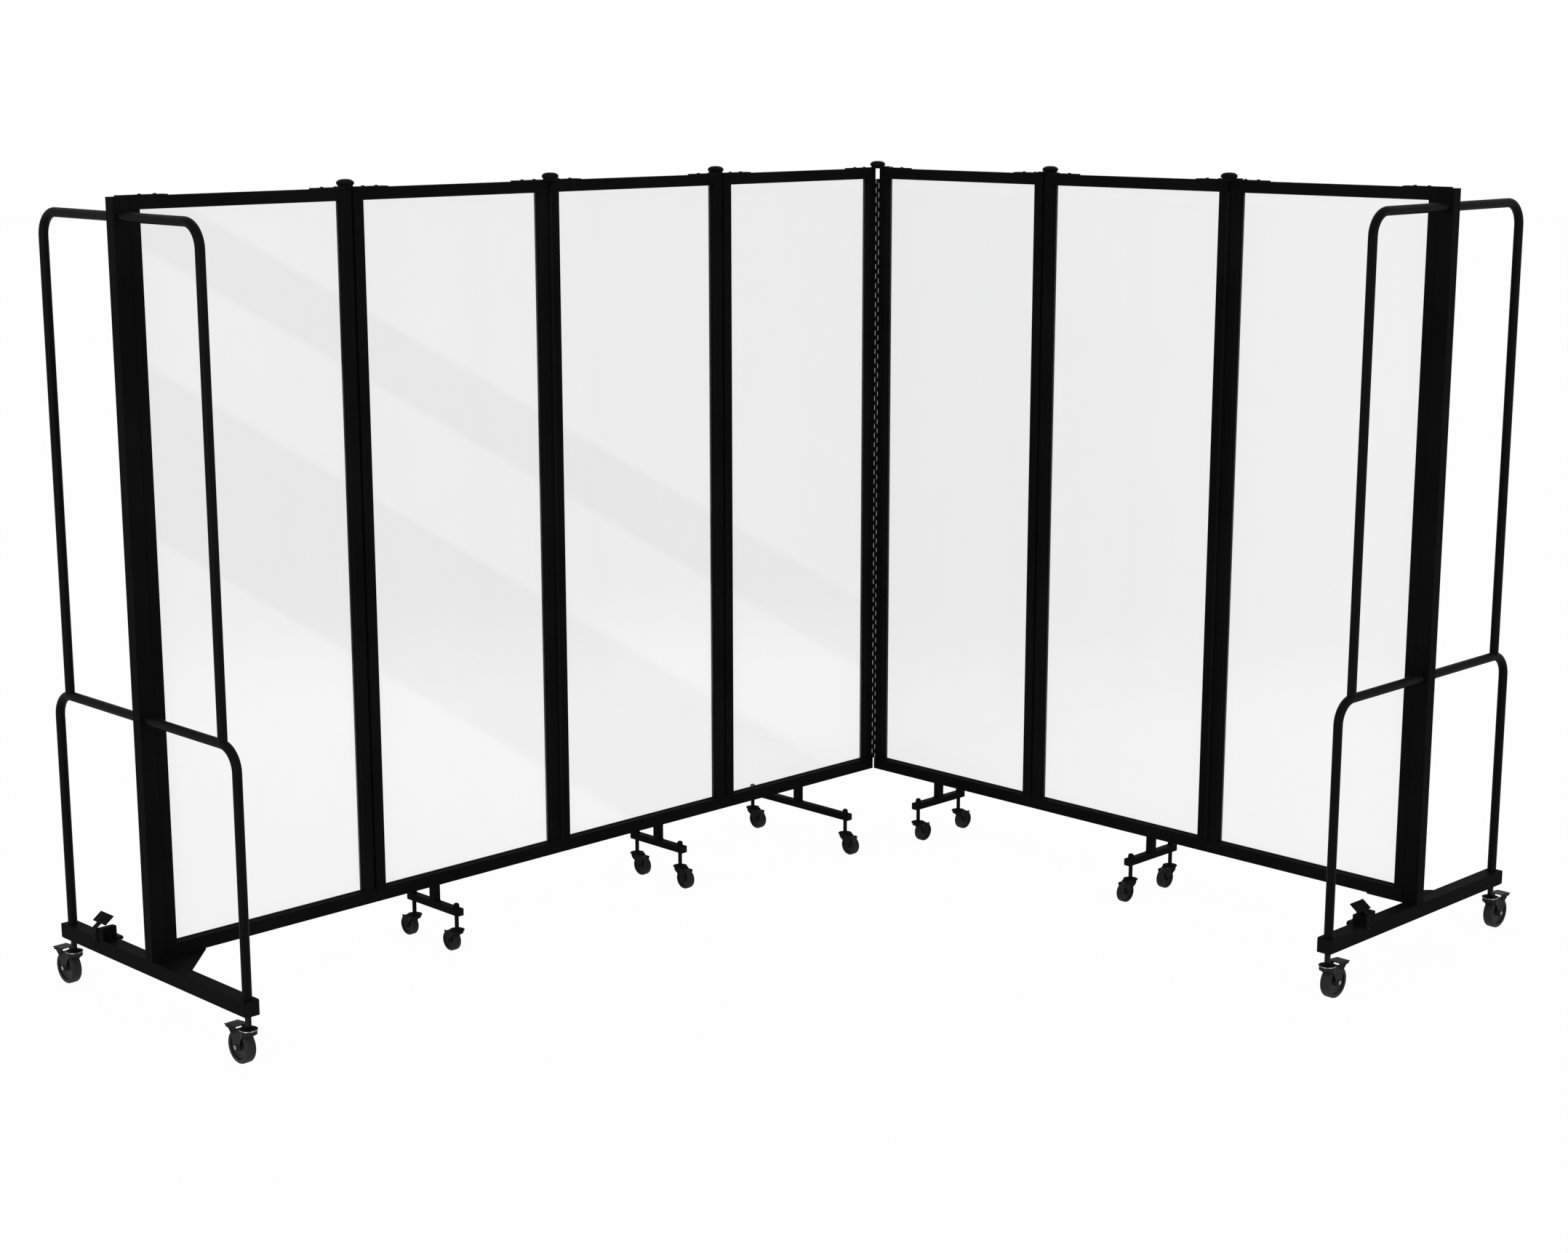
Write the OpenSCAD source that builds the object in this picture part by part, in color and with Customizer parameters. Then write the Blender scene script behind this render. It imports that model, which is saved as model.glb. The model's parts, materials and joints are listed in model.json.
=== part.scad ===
// A portable room divider: seven framed clear panels joined edge to edge by piano hinges that
// take turns on the front and the back, so the row folds like an accordion. It stands in an L:
// panels 1 to 4 are the left wing, panels 5 to 7 the right one. Each end panel has a post, a
// braked castor foot, two guard loops and a latch; each inner panel has a T foot on two castors.
// Every panel is drawn in its own frame: x runs from one hinge line to the next, y from the
// plane of the front hinges to the plane of the back ones, and z up from the floor.

/* [Panels] */
// Distance from one hinge line to the next
hinge_pitch = 560; // [500:5:640]
// Height of a panel, from the underside of its bottom rail to its top
panel_height = 1631; // [1200:1:1800]
// Height of the underside of the bottom rails above the floor
rail_underside = 148; // [146:1:165]
// Depth of the stiles and the top rail, front to back
frame_depth = 22; // [20:0.5:24]
// Width of a stile, seen from the front
stile_width = 25.4; // [22:0.1:32]
// Height of the top rail
top_rail_height = 25.4; // [22:0.1:32]
// Height of the bottom rail
bottom_rail_height = 30; // [26:0.5:40]
// How far the bottom rail stands proud of the stiles, front and back
rail_proud = 2.5; // [1.5:0.1:2.8]
// Wall of the rail, stile and post tubes
tube_wall = 1.5; // [1:0.1:2]
// Depth of the frame in front of the pane
land_depth = 14.1; // [11:0.1:15]
// Width of the rebate that the pane sits in
rebate_width = 9.4; // [7:0.1:10]
// Thickness of the clear pane
pane_thickness = 3; // [2:0.5:4]
// Clearance all round the pane and its bead
pane_clearance = 0.2; // [0.1:0.05:0.4]

/* [Hinges] */
// Distance of a hinge axis in front of the stile face
axis_stand_off = 3.5; // [3.3:0.1:4.5]
// Space between the ends of two hinged stiles
stile_gap = 7.4; // [7.4:0.1:9]
// Space between the ends of two hinged bottom rails
rail_gap = 2; // [1:0.1:4]
// Thickness of a hinge leaf
leaf_thickness = 1.5; // [1:0.1:1.7]
// Reach of a hinge leaf from its axis across the end of the stile
leaf_reach = 20; // [14:0.5:22]
// Outside diameter of the knuckles
knuckle_d = 7; // [6:0.1:7.2]
// Length of one knuckle
knuckle_length = 12.5; // [10:0.5:50]
// End clearance between two knuckles
knuckle_clearance = 0.3; // [0.2:0.05:0.5]
// Diameter of the hinge pin
pin_d = 3.2; // [2.4:0.1:3.8]
// Running clearance, on the radius, of every pin and shaft
running_clearance = 0.05; // [0.02:0.01:0.09]

/* [Top plates and caps] */
// Thickness of a top plate
plate_thickness = 2.5; // [2:0.1:3]
// Reach of a top plate from the hinge axis
plate_reach = 98; // [90:1:120]
// Distance of the nearer screw from the hinge axis
near_screw = 36.5; // [32:0.5:45]
// Distance of the farther screw from the hinge axis
far_screw = 72.5; // [60:0.5:84]
// Diameter of the screw heads
screw_head_d = 8.4; // [6:0.1:10]
// Height of the screw heads
screw_head_height = 2; // [1:0.1:3]
// Diameter of a plate's eye round the hinge axis
eye_d = 34; // [28:0.5:36]
// Diameter of the pivot that holds two eyes together
pivot_d = 8; // [6:0.1:12]
// Clearance between two plates, one above the other
plate_clearance = 0.3; // [0.2:0.05:0.6]
// Diameter of the round cap on each pivot
cap_d = 40; // [34:0.5:44]
// Height of the cap
cap_height = 13.6; // [8:0.2:18]

/* [End frames] */
// Width of an end post, seen from the front
post_width = 37; // [34:0.5:42]
// Space between an end post and its panel, filled by a strip
post_slit = 2; // [1.6:0.1:3]
// Distance of the end panel's stile from the outermost hinge line
end_inset = 4.5; // [3.6:0.1:6]
// Width of an end foot
foot_width = 34.9; // [33:0.1:40]
// How far an end foot stands back from the outer face of its post
foot_setback = 0.4; // [0.2:0.1:1.5]
// Height of an end foot
foot_height = 33.6; // [28:0.1:40]
// Space between the top of an end foot and the rails that pass over it
foot_clearance = 1.2; // [1:0.1:2]
// Length of an end foot
foot_length = 729.4; // [680:0.2:800]
// Distance of the braked castors from the ends of the foot
foot_castor_inset = 16.1; // [15.7:0.1:40]
// Reach of the gusset plate along the rail
gusset_reach = 100; // [70:1:140]
// Thickness of the gusset plate
gusset_thickness = 3; // [2:0.1:4]

/* [Guard loops] */
// Outside diameter of the guard tube
guard_d = 20.7; // [16:0.1:24]
// Wall of the guard tube
guard_wall = 1.5; // [1:0.1:2]
// Bend radius of the guard tube, to its middle
guard_bend = 52; // [40:1:70]
// Depth of the upper bar's middle below the top of the post
upper_bar_drop = 40; // [30:1:120]
// Distance of the upper loop's legs from the middle
upper_leg_offset = 300.5; // [240:0.5:320]
// Height of the lower bar's middle above the floor
lower_bar_height = 683.2; // [500:0.2:900]

/* [T feet] */
// Width and depth of the upright, and width of the beam
t_width = 18; // [15:0.5:22]
// Height of the beam
t_beam_height = 17.3; // [14:0.1:20]
// Height of the upright between the beam and the rail
t_upright = 39.5; // [37:0.1:42]
// Sideways step from one T foot to the next in the folded stack
nest_step = 51.5; // [48:0.5:60]
// Distance of the castors from the middle of a short T foot
t_castor_offset = 81.6; // [70:0.1:100]
// Distance of the castors from the middle of the long T foot on panel 4
long_t_castor_offset = 175; // [150:0.5:200]
// Length of beam beyond a castor's stem
t_beam_end = 15.4; // [11:0.1:20]

/* [Braked castors] */
// Diameter of the wheel
big_wheel_d = 75; // [66:0.5:78]
// Width of the wheel
big_wheel_w = 24; // [18:0.5:26]
// Distance of the wheel's axle behind the stem
big_trail = 27; // [24:0.5:30]
// Diameter of the threaded stem
big_stem_d = 12.7; // [9:0.1:14]
// Diameter of the swivel race
big_race_d = 38; // [34:0.5:40]
// Reach of the brake pedal behind the stem
pedal_reach = 66; // [60:0.5:72]

/* [Plain castors] */
// Diameter of the wheel
small_wheel_d = 50; // [44:0.5:52]
// Width of the wheel
small_wheel_w = 19; // [14:0.5:21]
// Distance of the wheel's axle behind the stem
small_trail = 20; // [18:0.5:22]
// Diameter of the threaded stem
small_stem_d = 9.5; // [7:0.1:11]
// Diameter of the swivel race
small_race_d = 36; // [32:0.5:38]

/* [Latches] */
// Height of the latch block above the foot
latch_height = 28.4; // [26:0.1:34]
// Reach of the hook over the end of the folded panels
hook_reach = 16; // [10:0.5:20]
// Length of the hook from its shaft
hook_arm = 29; // [26:0.5:30]
// Diameter of the latch shaft
latch_shaft_d = 6; // [5:0.5:7]
// Width of the lever strip
lever_width = 14.5; // [12:0.5:16]
// Thickness of the lever strip
lever_thickness = 2.5; // [2:0.1:3]
// Width of the lever's paddle
paddle_width = 51.5; // [40:0.5:60]
// Slope length of the lever's paddle
paddle_length = 27; // [20:0.5:32]

/* [Hidden] */
PANELS = 7;
LEFT_PANELS = 4;
$fn = 48;
// Overlap that lets one shape cut cleanly through another
cut = 1;

// Planes across a panel, front to back
hinge_depth = frame_depth + 2 * axis_stand_off;
middle = hinge_depth / 2;
stile_front = axis_stand_off;
stile_back = hinge_depth - axis_stand_off;
rail_front = stile_front - rail_proud;
rail_back = stile_back + rail_proud;
land_back = stile_front + land_depth;
pane_front = land_back + pane_clearance;
bead_front = pane_front + pane_thickness + pane_clearance;

// Levels of a panel
rail_top = rail_underside + bottom_rail_height;
panel_top = rail_underside + panel_height;
opening_top = panel_top - top_rail_height;

// Hinges
hinge_bottom = rail_top;
hinge_top = opening_top - 2;
knuckles = floor((hinge_top - hinge_bottom) / knuckle_length);
knuckle_r = knuckle_d / 2;
leaf_outer = stile_gap / 2;
leaf_inner = leaf_outer - leaf_thickness;
// A leaf starts this far from the axis where the other leaf has its knuckles
leaf_notch = norm([leaf_outer, knuckle_r]) - 0.8;

// Top plates: flat ones on the even panels, joggled ones over them on the odd panels
flat_top = panel_top + plate_thickness;
joggle_bottom = flat_top + plate_clearance;
joggle_top = joggle_bottom + plate_thickness;
joggle_start = eye_d / 2 + 1;
cap_bottom = joggle_top + plate_clearance;
screw_shank_d = screw_head_d / 2;
screw_length = plate_thickness + tube_wall + 6;

// End frames
post_inner = end_inset - post_slit;
post_outer = post_inner - post_width;
foot_top = rail_underside - foot_clearance;
foot_bottom = foot_top - foot_height;
foot_outer = post_outer + foot_setback;
foot_inner = foot_outer + foot_width;
foot_middle = foot_outer + foot_width / 2;
foot_castor_offset = foot_length / 2 - foot_castor_inset;
upper_bar_height = panel_top - upper_bar_drop;
guard_r = guard_d / 2;

// T feet
t_beam_top = rail_underside - t_upright;
t_beam_bottom = t_beam_top - t_beam_height;

// Latch: at rest the hook lies level with the foot's top, under the rails that swing over it, and
// the lever lifts it behind the last panel of the folded stack
stack_face = (PANELS - 1) * hinge_depth + rail_back;
latch_face = stack_face + 1.5;
latch_block_depth = 23;
latch_top = foot_top + latch_height;
latch_shaft_y = latch_face + latch_block_depth + lever_width / 2;
latch_shaft_z = foot_top - tube_wall - 0.4 - latch_shaft_d / 2;
latch_rear_height = 20;
lever_bend_z = latch_top - 3;
lever_tilt = 53;
lever_arm = 15;
lever_foot = latch_shaft_z - latch_shaft_d / 2 - 0.8 - lever_bend_z;

// A point a distance along the lever's tilted arm and a depth under its face
function along_lever(reach, depth) =
    [reach * sin(lever_tilt) + depth * cos(lever_tilt), reach * cos(lever_tilt) - depth * sin(lever_tilt)];

// Castors: a stem foot to race, a fork, a wheel and, on the end feet, a brake pedal
BIG = 0;
SMALL = 1;
wheel_r = [big_wheel_d / 2, small_wheel_d / 2];
wheel_w = [big_wheel_w, small_wheel_w];
trail = [big_trail, small_trail];
stem_r = [big_stem_d / 2, small_stem_d / 2];
race_r = [big_race_d / 2, small_race_d / 2];
axle_r = [4, 3.2];
cheek = [2, 1.6];
side_clearance = 1;
wheel_headroom = [4.5, 2.7];
race_height = [5.2, 4.6];
race_clearance = 0.3;
rivet_height = 1.8;

function head_top(k) = 2 * wheel_r[k] + wheel_headroom[k];
function cheek_out(k) = wheel_w[k] / 2 + side_clearance + cheek[k];

// The whole stands with its bounding box centred on the origin
castor_reach = max(pedal_reach, big_trail + big_wheel_d / 2);
far_reach = middle + foot_castor_offset + castor_reach;
end_reach = -foot_outer + race_clearance + lever_thickness;
corner_x = (LEFT_PANELS * hinge_pitch + end_reach - far_reach) / 2;
corner_y = ((PANELS - LEFT_PANELS) * hinge_pitch + end_reach - far_reach) / 2;

// Which way each castor trails at rest, turned from the panel's own +y
TRAIL_TURN = [0, 0, 180, 180, 0, 180, 0];
// How many nest steps each T foot stands from the middle of its panel
NEST = [0, -2, 1, 0, -1, 2, 0];

function is_even(i) = i % 2 == 0;
function is_end(i) = i == 1 || i == PANELS;
function left_face(i) = i == 1 ? end_inset : leaf_outer;
function right_face(i) = hinge_pitch - (i == PANELS ? end_inset : leaf_outer);
function left_rail(i) = i == 1 ? end_inset : rail_gap / 2;
function right_rail(i) = hinge_pitch - (i == PANELS ? end_inset : rail_gap / 2);
function t_x(i) = hinge_pitch / 2 + NEST[i - 1] * nest_step;
function castor_x(i) = i == 1 ? foot_middle : i == PANELS ? hinge_pitch - foot_middle : t_x(i);
function castor_offset(i) =
    is_end(i) ? foot_castor_offset : i == LEFT_PANELS ? long_t_castor_offset : t_castor_offset;
function castor_y(i, s) = middle + (s == "front" ? -1 : 1) * castor_offset(i);

// A box between two corners
module box(low, high) {
    translate(low)
        cube(high - low);
}

// Sets a panel's own frame in its place in the L
module panel_frame(i) {
    translate([corner_x, corner_y, 0])
        rotate([0, 0, i > LEFT_PANELS ? -90 : 0])
            translate([(i - LEFT_PANELS - 1) * hinge_pitch, 0, 0])
                children();
}

// The end of panel 1, or the same end turned about for panel 7
module end_place(e) {
    if (e == "left")
        panel_frame(1)
            children();
    else
        panel_frame(PANELS)
            translate([hinge_pitch, hinge_depth, 0])
                rotate([0, 0, 180])
                    children();
}

// A panel's hinge edge: the axis at the origin and the panel on the +x, +y side
module hinge_place(i, h) {
    at_left = h == i - 1;
    at_back = !is_even(h);
    translate([at_left ? 0 : hinge_pitch, at_back ? hinge_depth : 0, 0])
        mirror([at_left ? 0 : 1, 0, 0])
            mirror([0, at_back ? 1 : 0, 0])
                children();
}

// A countersunk hole's plain stand-in: the clearance hole of a plate screw
module screw_hole(x, y, z) {
    translate([x, y, z - screw_length - cut])
        cylinder(d = screw_shank_d + 2 * running_clearance, h = screw_length + 2 * cut);
}

// A domed screw, its head standing on z = 0
module screw() {
    rotate_extrude($fn = 24)
        polygon([
            [0, -screw_length],
            [screw_shank_d / 2, -screw_length],
            [screw_shank_d / 2, 0],
            [screw_head_d / 2, 0],
            [screw_head_d * 0.42, screw_head_height * 0.6],
            [screw_head_d * 0.22, screw_head_height * 0.93],
            [0, screw_head_height]
        ]);
}

// Where a hinged edge's plate screws stand, seen from its hinge axis
module edge_screws() {
    for (x = [near_screw, far_screw])
        translate([x, middle, 0])
            children();
}

// The welded frame of panel i with its rebate, its tube walls and its screw holes
module frame_body(i) {
    x0 = left_face(i);
    x1 = right_face(i);
    in0 = x0 + stile_width;
    in1 = x1 - stile_width;
    w = tube_wall;
    difference() {
        union() {
            box([x0, stile_front, rail_top], [x1, stile_back, panel_top]);
            box([left_rail(i), rail_front, rail_underside], [right_rail(i), rail_back, rail_top]);
            if (!is_end(i))
                t_foot(i);
        }
        box([in0, rail_front - cut, rail_top], [in1, rail_back + cut, opening_top]);
        box([in0 - rebate_width, land_back, rail_top - rebate_width],
            [in1 + rebate_width, rail_back + cut, opening_top + rebate_width]);
        for (side = [0, 1])
            translate([side == 0 ? x0 : x1, 0, 0])
                mirror([side, 0, 0])
                    stile_void();
        box([in0 + w, stile_front + w, opening_top + rebate_width + w],
            [in1 - w, stile_back - w, panel_top - w]);
        box([left_rail(i) + w, rail_front + w, rail_underside + w],
            [right_rail(i) - w, rail_back - w, rail_top - rebate_width - w]);
        plate_screw_places(i)
            screw_hole(0, 0, panel_top + plate_thickness);
        if (!is_end(i))
            castor_stem_places(i)
                cylinder(r = stem_r[SMALL] + running_clearance, h = t_beam_top + cut);
        if (is_end(i))
            stile_screw_places(i)
                cylinder(d = screw_shank_d / 2 + 2 * running_clearance, h = 2 * tube_wall + cut,
                         center = true);
    }
}

// The hollow of a stile, from its outer face at x = 0
module stile_void() {
    w = tube_wall;
    narrow = stile_width - rebate_width - w;
    translate([0, 0, rail_top + w])
        linear_extrude(opening_top - rail_top - w)
            polygon([
                [w, stile_front + w],
                [stile_width - w, stile_front + w],
                [stile_width - w, land_back - w],
                [narrow, land_back - w],
                [narrow, stile_back - w],
                [w, stile_back - w]
            ]);
}

// The T foot under an inner panel: an upright on the rail's middle and a beam across it
module t_foot(i) {
    beam = castor_offset(i) + t_beam_end;
    half = t_width / 2;
    box([t_x(i) - half, middle - half, t_beam_top - cut], [t_x(i) + half, middle + half, rail_underside]);
    box([t_x(i) - half, middle - beam, t_beam_bottom], [t_x(i) + half, middle + beam, t_beam_top]);
}

module castor_stem_places(i) {
    for (s = ["front", "back"])
        translate([castor_x(i), castor_y(i, s), 0])
            children();
}

// The bead that holds the pane in its rebate from behind
module bead(i) {
    x0 = left_face(i) + stile_width;
    x1 = right_face(i) - stile_width;
    reach = rebate_width - pane_clearance;
    difference() {
        box([x0 - reach, bead_front, rail_top - reach], [x1 + reach, stile_back, opening_top + reach]);
        box([x0, bead_front - cut, rail_top], [x1, stile_back + cut, opening_top]);
    }
}

module panel_frame_node(i) {
    color("#161616")
        panel_frame(i) {
            frame_body(i);
            bead(i);
        }
    if (!is_end(i))
        color("#3a3a3a")
            panel_frame(i)
                castor_stem_places(i)
                    castor_stem(SMALL);
}

module panel_pane_node(i) {
    reach = rebate_width - pane_clearance;
    color("#e8eef0", 0.35)
        panel_frame(i)
            box([left_face(i) + stile_width - reach, pane_front, rail_top - reach],
                [right_face(i) - stile_width + reach, pane_front + pane_thickness, opening_top + reach]);
}

// One leaf of a piano hinge, drawn on the +x side of the axis, with every second knuckle
module hinge_leaf(first) {
    difference() {
        union() {
            box([leaf_inner, leaf_notch, hinge_bottom], [leaf_outer, leaf_reach, hinge_top]);
            for (k = [first:2:knuckles - 1])
                translate([0, 0, hinge_bottom + k * knuckle_length + knuckle_clearance / 2])
                    linear_extrude(knuckle_length - knuckle_clearance) {
                        circle(d = knuckle_d);
                        polygon([
                            [leaf_inner, 0],
                            [knuckle_r, 0],
                            [leaf_outer, knuckle_r / 3],
                            [leaf_outer, leaf_notch],
                            [leaf_inner, leaf_notch]
                        ]);
                    }
        }
        translate([0, 0, hinge_bottom - cut])
            cylinder(d = pin_d + 2 * running_clearance, h = hinge_top - hinge_bottom + 2 * cut);
    }
}

// The strip of a top plate with its eye, lying on z = 0; an odd panel's plate steps up to its eye
module top_plate(joggled) {
    rise = joggle_bottom - panel_top;
    eye_z = joggled ? rise : 0;
    difference() {
        union() {
            translate([0, 0, eye_z])
                cylinder(d = eye_d, h = plate_thickness);
            translate([0, 0, eye_z])
                linear_extrude(plate_thickness)
                    plate_neck(joggled ? joggle_start + rise : plate_reach);
            if (joggled) {
                box([joggle_start, stile_front, 0], [plate_reach, stile_back, plate_thickness]);
                box([joggle_start, stile_front, 0],
                    [joggle_start + rise, stile_back, rise + plate_thickness]);
            }
        }
        translate([0, 0, -cut])
            cylinder(d = pivot_d + 2 * running_clearance, h = rise + plate_thickness + 2 * cut);
        edge_screws()
            screw_hole(0, 0, plate_thickness);
    }
}

// The plate's outline from its eye to a stated reach
module plate_neck(reach) {
    r = eye_d / 2;
    turn = 20;
    polygon([
        [0, 0],
        [leaf_outer + 5, stile_front],
        [reach, stile_front],
        [reach, stile_back],
        [joggle_start + 0.5, stile_back],
        [-r * sin(turn), r * cos(turn)]
    ]);
}

// The round cap of a hinge, its pivot going down through both eyes
module hinge_cap() {
    r = cap_d / 2;
    h = cap_height;
    translate([0, 0, cap_bottom])
        rotate_extrude()
            polygon([
                [0, panel_top - cap_bottom],
                [pivot_d / 2, panel_top - cap_bottom],
                [pivot_d / 2, 0],
                [r * 0.84, 0],
                [r * 0.95, h * 0.12],
                [r, h * 0.34],
                [r * 0.97, h * 0.5],
                [r * 0.88, h * 0.68],
                [r * 0.7, h * 0.85],
                [r * 0.42, h * 0.96],
                [0, h]
            ]);
}

// Places of all plate screws on top of panel i, also those of an end frame's plate
module plate_screw_places(i) {
    for (h = [i - 1, i])
        if (h > 0 && h < PANELS)
            hinge_place(i, h)
                edge_screws()
                    children();
    if (is_end(i))
        translate([i == 1 ? 0 : hinge_pitch, 0, 0])
            mirror([i == 1 ? 0 : 1, 0, 0])
                for (x = [near_screw, far_screw])
                    translate([x, middle, 0])
                        children();
}

// Places of the two small screws low on an end panel's outer stile, pointing out of the front
module stile_screw_places(i) {
    translate([i == 1 ? 0 : hinge_pitch, 0, 0])
        mirror([i == 1 ? 0 : 1, 0, 0])
            for (x = [end_inset + 4.8, end_inset + stile_width - 6.7])
                translate([x, stile_front, rail_top + 10])
                    rotate([90, 0, 0])
                        children();
}

module panel_hinges_node(i) {
    color("#1c1c1c")
        panel_frame(i) {
            for (h = [i - 1, i])
                if (h > 0 && h < PANELS)
                    hinge_place(i, h) {
                        hinge_leaf(h == i ? 0 : 1);
                        translate([0, 0, panel_top])
                            top_plate(!is_even(i));
                        if (is_even(i))
                            hinge_cap();
                        if (h == i)
                            translate([0, 0, hinge_bottom])
                                cylinder(d = pin_d, h = hinge_top - hinge_bottom);
                    }
            plate_screw_places(i)
                translate([0, 0, flat_top])
                    screw();
            if (is_end(i))
                stile_screw_places(i)
                    scale(0.5)
                        screw();
        }
}

// The post, foot, gusset, filler strip, top plate and latch block of one end, as one weldment
module end_frame_body() {
    w = tube_wall;
    half = foot_length / 2;
    difference() {
        union() {
            box([post_outer, rail_front, foot_top], [post_inner, rail_back, panel_top]);
            box([post_inner, stile_front + 2, hinge_bottom], [end_inset, stile_back - 2, hinge_top]);
            box([foot_outer, middle - half, foot_bottom], [foot_inner, middle + half, foot_top]);
            gusset();
            latch_block();
            box([post_inner - post_width / 2, stile_front, panel_top],
                [plate_reach, stile_back, flat_top]);
        }
        box([post_outer + w, rail_front + w, foot_top + w],
            [post_inner - w, rail_back - w, panel_top - w]);
        box([foot_outer + w, middle - half + w, foot_bottom + w],
            [foot_inner - w, middle + half - w, foot_top - w]);
        for (z = [lower_bar_height, upper_bar_height])
            translate([foot_middle, 0, z])
                rotate([90, 0, 0])
                    cylinder(d = guard_d + 2 * running_clearance, h = 4 * hinge_depth, center = true);
        for (x = [near_screw, far_screw])
            screw_hole(x, middle, flat_top);
        for (side = [-1, 1])
            translate([foot_middle, middle + side * foot_castor_offset, foot_bottom - cut])
                cylinder(r = stem_r[BIG] + running_clearance, h = 2 * cut + tube_wall);
        translate([foot_outer - cut, latch_shaft_y, latch_shaft_z])
            rotate([0, 90, 0])
                cylinder(d = latch_shaft_d + 2 * running_clearance, h = foot_width + 2 * cut);
    }
}

// The plate that braces the foot to the bottom rail
module gusset() {
    translate([0, 0, rail_underside - gusset_thickness])
        linear_extrude(gusset_thickness)
            polygon([
                [foot_inner - cut, rail_back],
                [gusset_reach, rail_back],
                [gusset_reach, rail_front],
                [foot_inner, rail_front - gusset_reach],
                [foot_inner - cut, rail_front - gusset_reach]
            ]);
}

// The block on the foot that stops the folded stack, with two ribs on its near side
module latch_block() {
    y0 = latch_face;
    y1 = latch_face + latch_block_depth;
    rib = 3;
    rib_height = latch_height * 0.55;
    translate([foot_outer, 0, 0])
        rotate([90, 0, 90])
            linear_extrude(foot_width)
                polygon([
                    [y0, foot_top - cut],
                    [y0, latch_top],
                    [y0 + latch_block_depth / 2, latch_top],
                    [y1, latch_top - 3],
                    [y1, foot_top + latch_rear_height],
                    [y1 + lever_width, foot_top + latch_rear_height],
                    [y1 + lever_width, foot_top - cut]
                ]);
    for (x = [foot_outer + foot_width * 0.42, foot_inner - foot_width * 0.2])
        translate([x, 0, 0])
            rotate([90, 0, 90])
                linear_extrude(rib)
                    polygon([
                        [y0 + cut, foot_top - cut],
                        [y0 - rib_height * 0.8, foot_top - cut],
                        [y0 - rib_height * 0.8, foot_top],
                        [y0, foot_top + rib_height],
                        [y0 + cut, foot_top + rib_height]
                    ]);
}

module end_frame_node(e) {
    color("#161616")
        end_place(e)
            end_frame_body();
    color("#8a8a8a")
        end_place(e)
            for (side = [-1, 1])
                translate([foot_middle, middle + side * foot_castor_offset, 0])
                    castor_stem(BIG);
}

// Half of a guard loop in its own plane: y sideways from the middle, z up, and radius r of tube
module loop_half(leg, bar_z, leg_bottom, r) {
    translate([0, 0, bar_z])
        rotate([-90, 0, 0])
            cylinder(r = r, h = leg - guard_bend);
    translate([0, leg - guard_bend, bar_z - guard_bend])
        rotate([90, 0, 90])
            rotate_extrude(angle = 90)
                translate([guard_bend, 0])
                    circle(r = r);
    translate([0, leg, leg_bottom])
        cylinder(r = r, h = bar_z - guard_bend - leg_bottom);
}

module loops(r, upper_bottom, lower_bottom) {
    for (side = [0, 1])
        mirror([0, side, 0]) {
            loop_half(upper_leg_offset, upper_bar_height, upper_bottom, r);
            loop_half(foot_castor_offset, lower_bar_height, lower_bottom, r);
        }
}

module guard_loops_node(e) {
    color("#121212")
        end_place(e)
            translate([foot_middle, middle, 0])
                difference() {
                    loops(guard_r, lower_bar_height, foot_top);
                    loops(guard_r - guard_wall, lower_bar_height + guard_r, foot_top - cut);
                }
}

// The latch lever: a strip outside the foot with a tilted paddle over it, a shaft through the
// foot's walls and the hook on its inner side
module latch_lever_node(e) {
    outer = foot_outer - race_clearance;
    hook_x = foot_inner + race_clearance;
    color("#101010")
        end_place(e) {
            lever_plate(lever_width)
                translate([0, lever_foot])
                    strip_profile();
            lever_plate(paddle_width)
                paddle_profile();
            translate([outer - cut, latch_shaft_y, latch_shaft_z])
                rotate([0, 90, 0])
                    cylinder(d = latch_shaft_d, h = hook_x - outer + 2 * cut);
            hook(hook_x);
        }
}

// Stands a profile of the lever, drawn in x and z about its bend, across the latch shaft
module lever_plate(width) {
    translate([foot_outer - race_clearance - lever_thickness, latch_shaft_y, lever_bend_z])
        rotate([90, 0, 0])
            linear_extrude(width, center = true)
                children();
}

// The strip outside the foot and its arm up to the paddle, drawn from the strip's lower end
module strip_profile() {
    t = lever_thickness;
    rise = -lever_foot;
    reach = lever_arm + paddle_length / 2;
    polygon([
        [0, 0],
        [0, rise],
        along_lever(reach, 0) + [0, rise],
        along_lever(reach, t) + [0, rise],
        [t, rise - t * tan(lever_tilt / 2)],
        [t, 0]
    ]);
}

module paddle_profile() {
    t = lever_thickness;
    far = lever_arm + paddle_length;
    polygon([along_lever(lever_arm, 0), along_lever(far, 0), along_lever(far, t), along_lever(lever_arm, t)]);
}

// The hook on the inner end of the latch shaft, lying towards the folded stack
module hook(x) {
    tip = latch_shaft_y - hook_arm;
    low = latch_shaft_z - latch_shaft_d / 2 - 3;
    translate([x, 0, 0])
        rotate([90, 0, 90])
            linear_extrude(hook_reach)
                polygon([
                    [tip, latch_shaft_z - 2],
                    [tip, foot_top - 2],
                    [tip + 2, foot_top],
                    [latch_shaft_y + 3, foot_top],
                    [latch_shaft_y + 7, latch_shaft_z],
                    [latch_shaft_y + 4, low],
                    [latch_shaft_y - 6, low],
                    [tip + 6, latch_shaft_z - 4]
                ]);
}

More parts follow.
